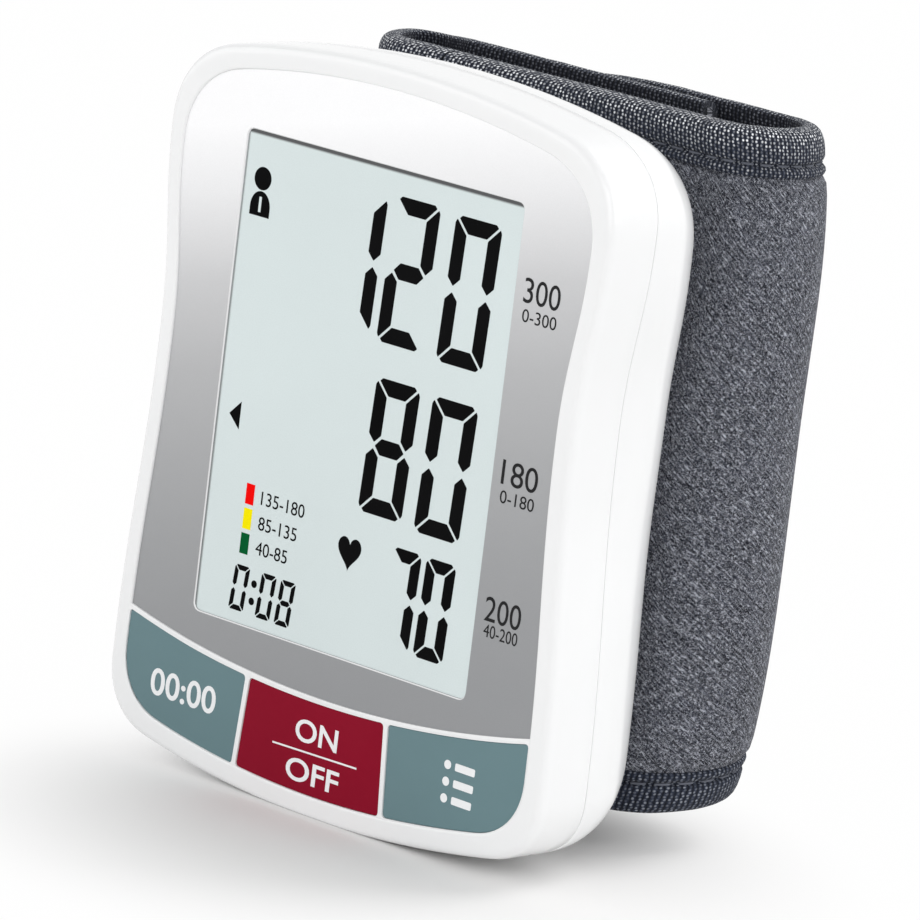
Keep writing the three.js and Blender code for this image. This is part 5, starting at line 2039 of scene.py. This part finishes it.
    def bladder(self) -> None:
        """Air bladder between the stiffener and the lining: a flat welded pouch."""
        low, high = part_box("cuff_bladder")
        z0, z1 = ((v - DATUM.foot) / MM for v in (low[2], high[2]))
        places, lengths = self.runs(*self.bladder_run, 1.2)
        heights = spread(z0 + self.bladder_margin, z1 - self.bladder_margin, 40)
        edge, more = self.bladder_half
        rings = []
        for i, run in enumerate(places):
            weld = smooth(min(lengths[i], lengths[-1] - lengths[i]), *self.weld_span)
            bulge = [edge + more * weld * smooth(min(z - z0, z1 - z), *self.weld_span) for z in heights]
            face = [self.point(run, self.bladder_depth - b, z) for z, b in zip(heights, bulge)]
            back = [self.point(run, self.bladder_depth + b, z) for z, b in zip(heights, bulge)]
            rings.append(face + back[::-1])
        obj = Bench.tube("air_bladder", rings)
        Bench.soften(obj, 60)
        Bench.dress(obj, "case", "bladder", self.finishes["bladder"])
        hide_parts("cuff_bladder")


@dataclass
class Studio:
    """Floor, world, lamps and the camera."""

    eye: Triple = (0.533012, -0.595836, 0.204094)
    right: Triple = (0.721641, 0.682107, 0.118171)
    up: Triple = (-0.224685, 0.069320, 0.971963)
    lens: float = 291.25
    sensor: float = 36.0
    aim: Triple = (0, 0, 0.04)
    floor_side: float = 8.0
    ambient: float = 0.57
    shade: Triple = (-0.01, 0.019, 0.0)
    paint: Colour = (0.86, 0.855, 0.85)
    fade: tuple[float, float, float, float] = (0.016, 0.055, 0.0, 0.98)
    lamps: tuple[tuple[str, Triple, float, float], ...] = (
        ("key_lamp", (0.65, -1.1, 0.42), 1.1, 6.2), ("side_lamp", (1.35, 0.55, 0.7), 1.0, 6.2),
        ("back_lamp", (0.3, 0.95, 1.2), 0.8, 8.5), ("fill_lamp", (-1.1, -0.9, 0.42), 1.2, 5.2))

    def camera(self) -> None:
        """Adds the camera at the photograph's viewing angle."""
        Bench.clear()
        bpy.ops.object.camera_add(location=self.eye)
        camera = bpy.context.object
        right, up = Vector(self.right), Vector(self.up)
        back = right.cross(up)
        turn = Matrix((right, up, back)).transposed().to_4x4()
        camera.matrix_world = Matrix.Translation(self.eye) @ turn
        camera.data.lens = self.lens
        camera.data.sensor_width = self.sensor
        bpy.context.scene.camera = camera

    @staticmethod
    def seen(nodes: Nodes) -> Socket:
        """Whether the camera, a mirror or glass looks at the surface.

        Args:
            nodes: the node tree to add to.

        Returns:
            The value socket.
        """
        path = nodes.node("LightPath").outputs
        plain = nodes.math("MAXIMUM", path["Is Camera Ray"], path["Is Glossy Ray"])
        return nodes.math("MAXIMUM", plain, path["Is Transmission Ray"])

    def world(self) -> None:
        """White round about, at a plain level of light."""
        world = bpy.data.worlds.new("studio")
        bpy.context.scene.world = world
        world.use_nodes = True
        nodes = Nodes(world.node_tree)
        ground = next(n for n in nodes.tree.nodes if n.type == "BACKGROUND")
        level = nodes.node("MapRange", {0: self.seen(nodes), 3: self.ambient, 4: 1.0})
        nodes.feed(ground.inputs["Color"], (1, 1, 1, 1))
        nodes.feed(ground.inputs["Strength"], level.outputs[0])

    def floor(self) -> None:
        """A wide pale floor that keeps the shadow."""
        Bench.clear()
        bpy.ops.mesh.primitive_plane_add(size=self.floor_side, location=(0, 0, 0))
        floor = Bench.named("studio_floor")
        material = bpy.data.materials.new("studio_floor")
        material.use_nodes = True
        nodes = Nodes(material.node_tree)
        nodes.tree.nodes.clear()
        paint = nodes.node("BsdfDiffuse", {"Color": (*self.paint, 1)})
        glow = nodes.node("Emission", {"Strength": 1.0})
        middle = nodes.node("VectorMath", {0: nodes.node("TexCoord").outputs["Object"], 1: self.shade})
        reach = nodes.node("VectorMath", {0: middle.outputs[0]}, operation="LENGTH").outputs["Value"]
        share = nodes.math("MULTIPLY", self.seen(nodes), nodes.ease(reach, *self.fade))
        both = nodes.node("MixShader", {0: share, 1: paint.outputs[0], 2: glow.outputs[0]})
        nodes.node("OutputMaterial", {0: both.outputs[0]})
        floor.data.materials.append(material)

    def lamp(self, name: str, place: Sequence[float], size: float, power: float) -> None:
        """Adds a soft lamp that looks at the middle of the object.

        Args:
            name: its name.
            place: where it stands.
            size: its side.
            power: its power in watts.
        """
        Bench.clear()
        bpy.ops.object.light_add(type="AREA", location=place)
        lamp = bpy.context.object
        lamp.name = name
        lamp.data.size = size
        lamp.data.energy = power
        aim = Vector(self.aim) - Vector(place)
        lamp.rotation_euler = aim.to_track_quat("-Z", "Y").to_euler()

    def light(self) -> None:
        """Adds the lamps."""
        for values in self.lamps:
            self.lamp(*values)
        bpy.context.scene.view_settings.view_transform = "Standard"


@dataclass
class PanelPrint:
    """Plain figures beside the display."""

    finishes: Finishes
    x: float = 24.6
    depth: float = -0.02
    limit_size: Point = (2.7, 5.2)
    range_size: Point = (1.4, 4.9)
    lines: tuple[tuple[str, str, float, float], ...] = (
        ("300", "0-300", 62.35, 60.3), ("180", "0-180", 42.7, 40.7), ("200", "40-200", 27.8, 26.1))

    def build(self) -> None:
        """Prints the figures."""
        for n, (large, small, high, low) in enumerate(self.lines, 1):
            for kind, figures, z, (height, width) in (
                    ("limit", large, high, self.limit_size), ("range", small, low, self.range_size)):
                Lettering.word(f"panel_{kind}_{n}", figures, self.x, z, height, self.depth, "case", "display",
                               self.finishes["label"], True, width)


def main() -> None:
    """Builds the object and the studio, piece by piece."""
    logging.basicConfig(level=logging.INFO, format="%(message)s")
    studio = Studio()
    studio.camera()
    finishes = Finishes()
    for part in (FrontShell(finishes), RearShell(finishes), FacePanel(finishes), Display(finishes),
                 PanelPrint(finishes), Keys(finishes), Cuff(finishes)):
        LOG.info("building %s", type(part).__name__)
        part.build()
    finishes.dress_nodes()
    studio.world()
    studio.floor()
    studio.light()
    Bench.clear()


if __name__ == "__main__":
    main()
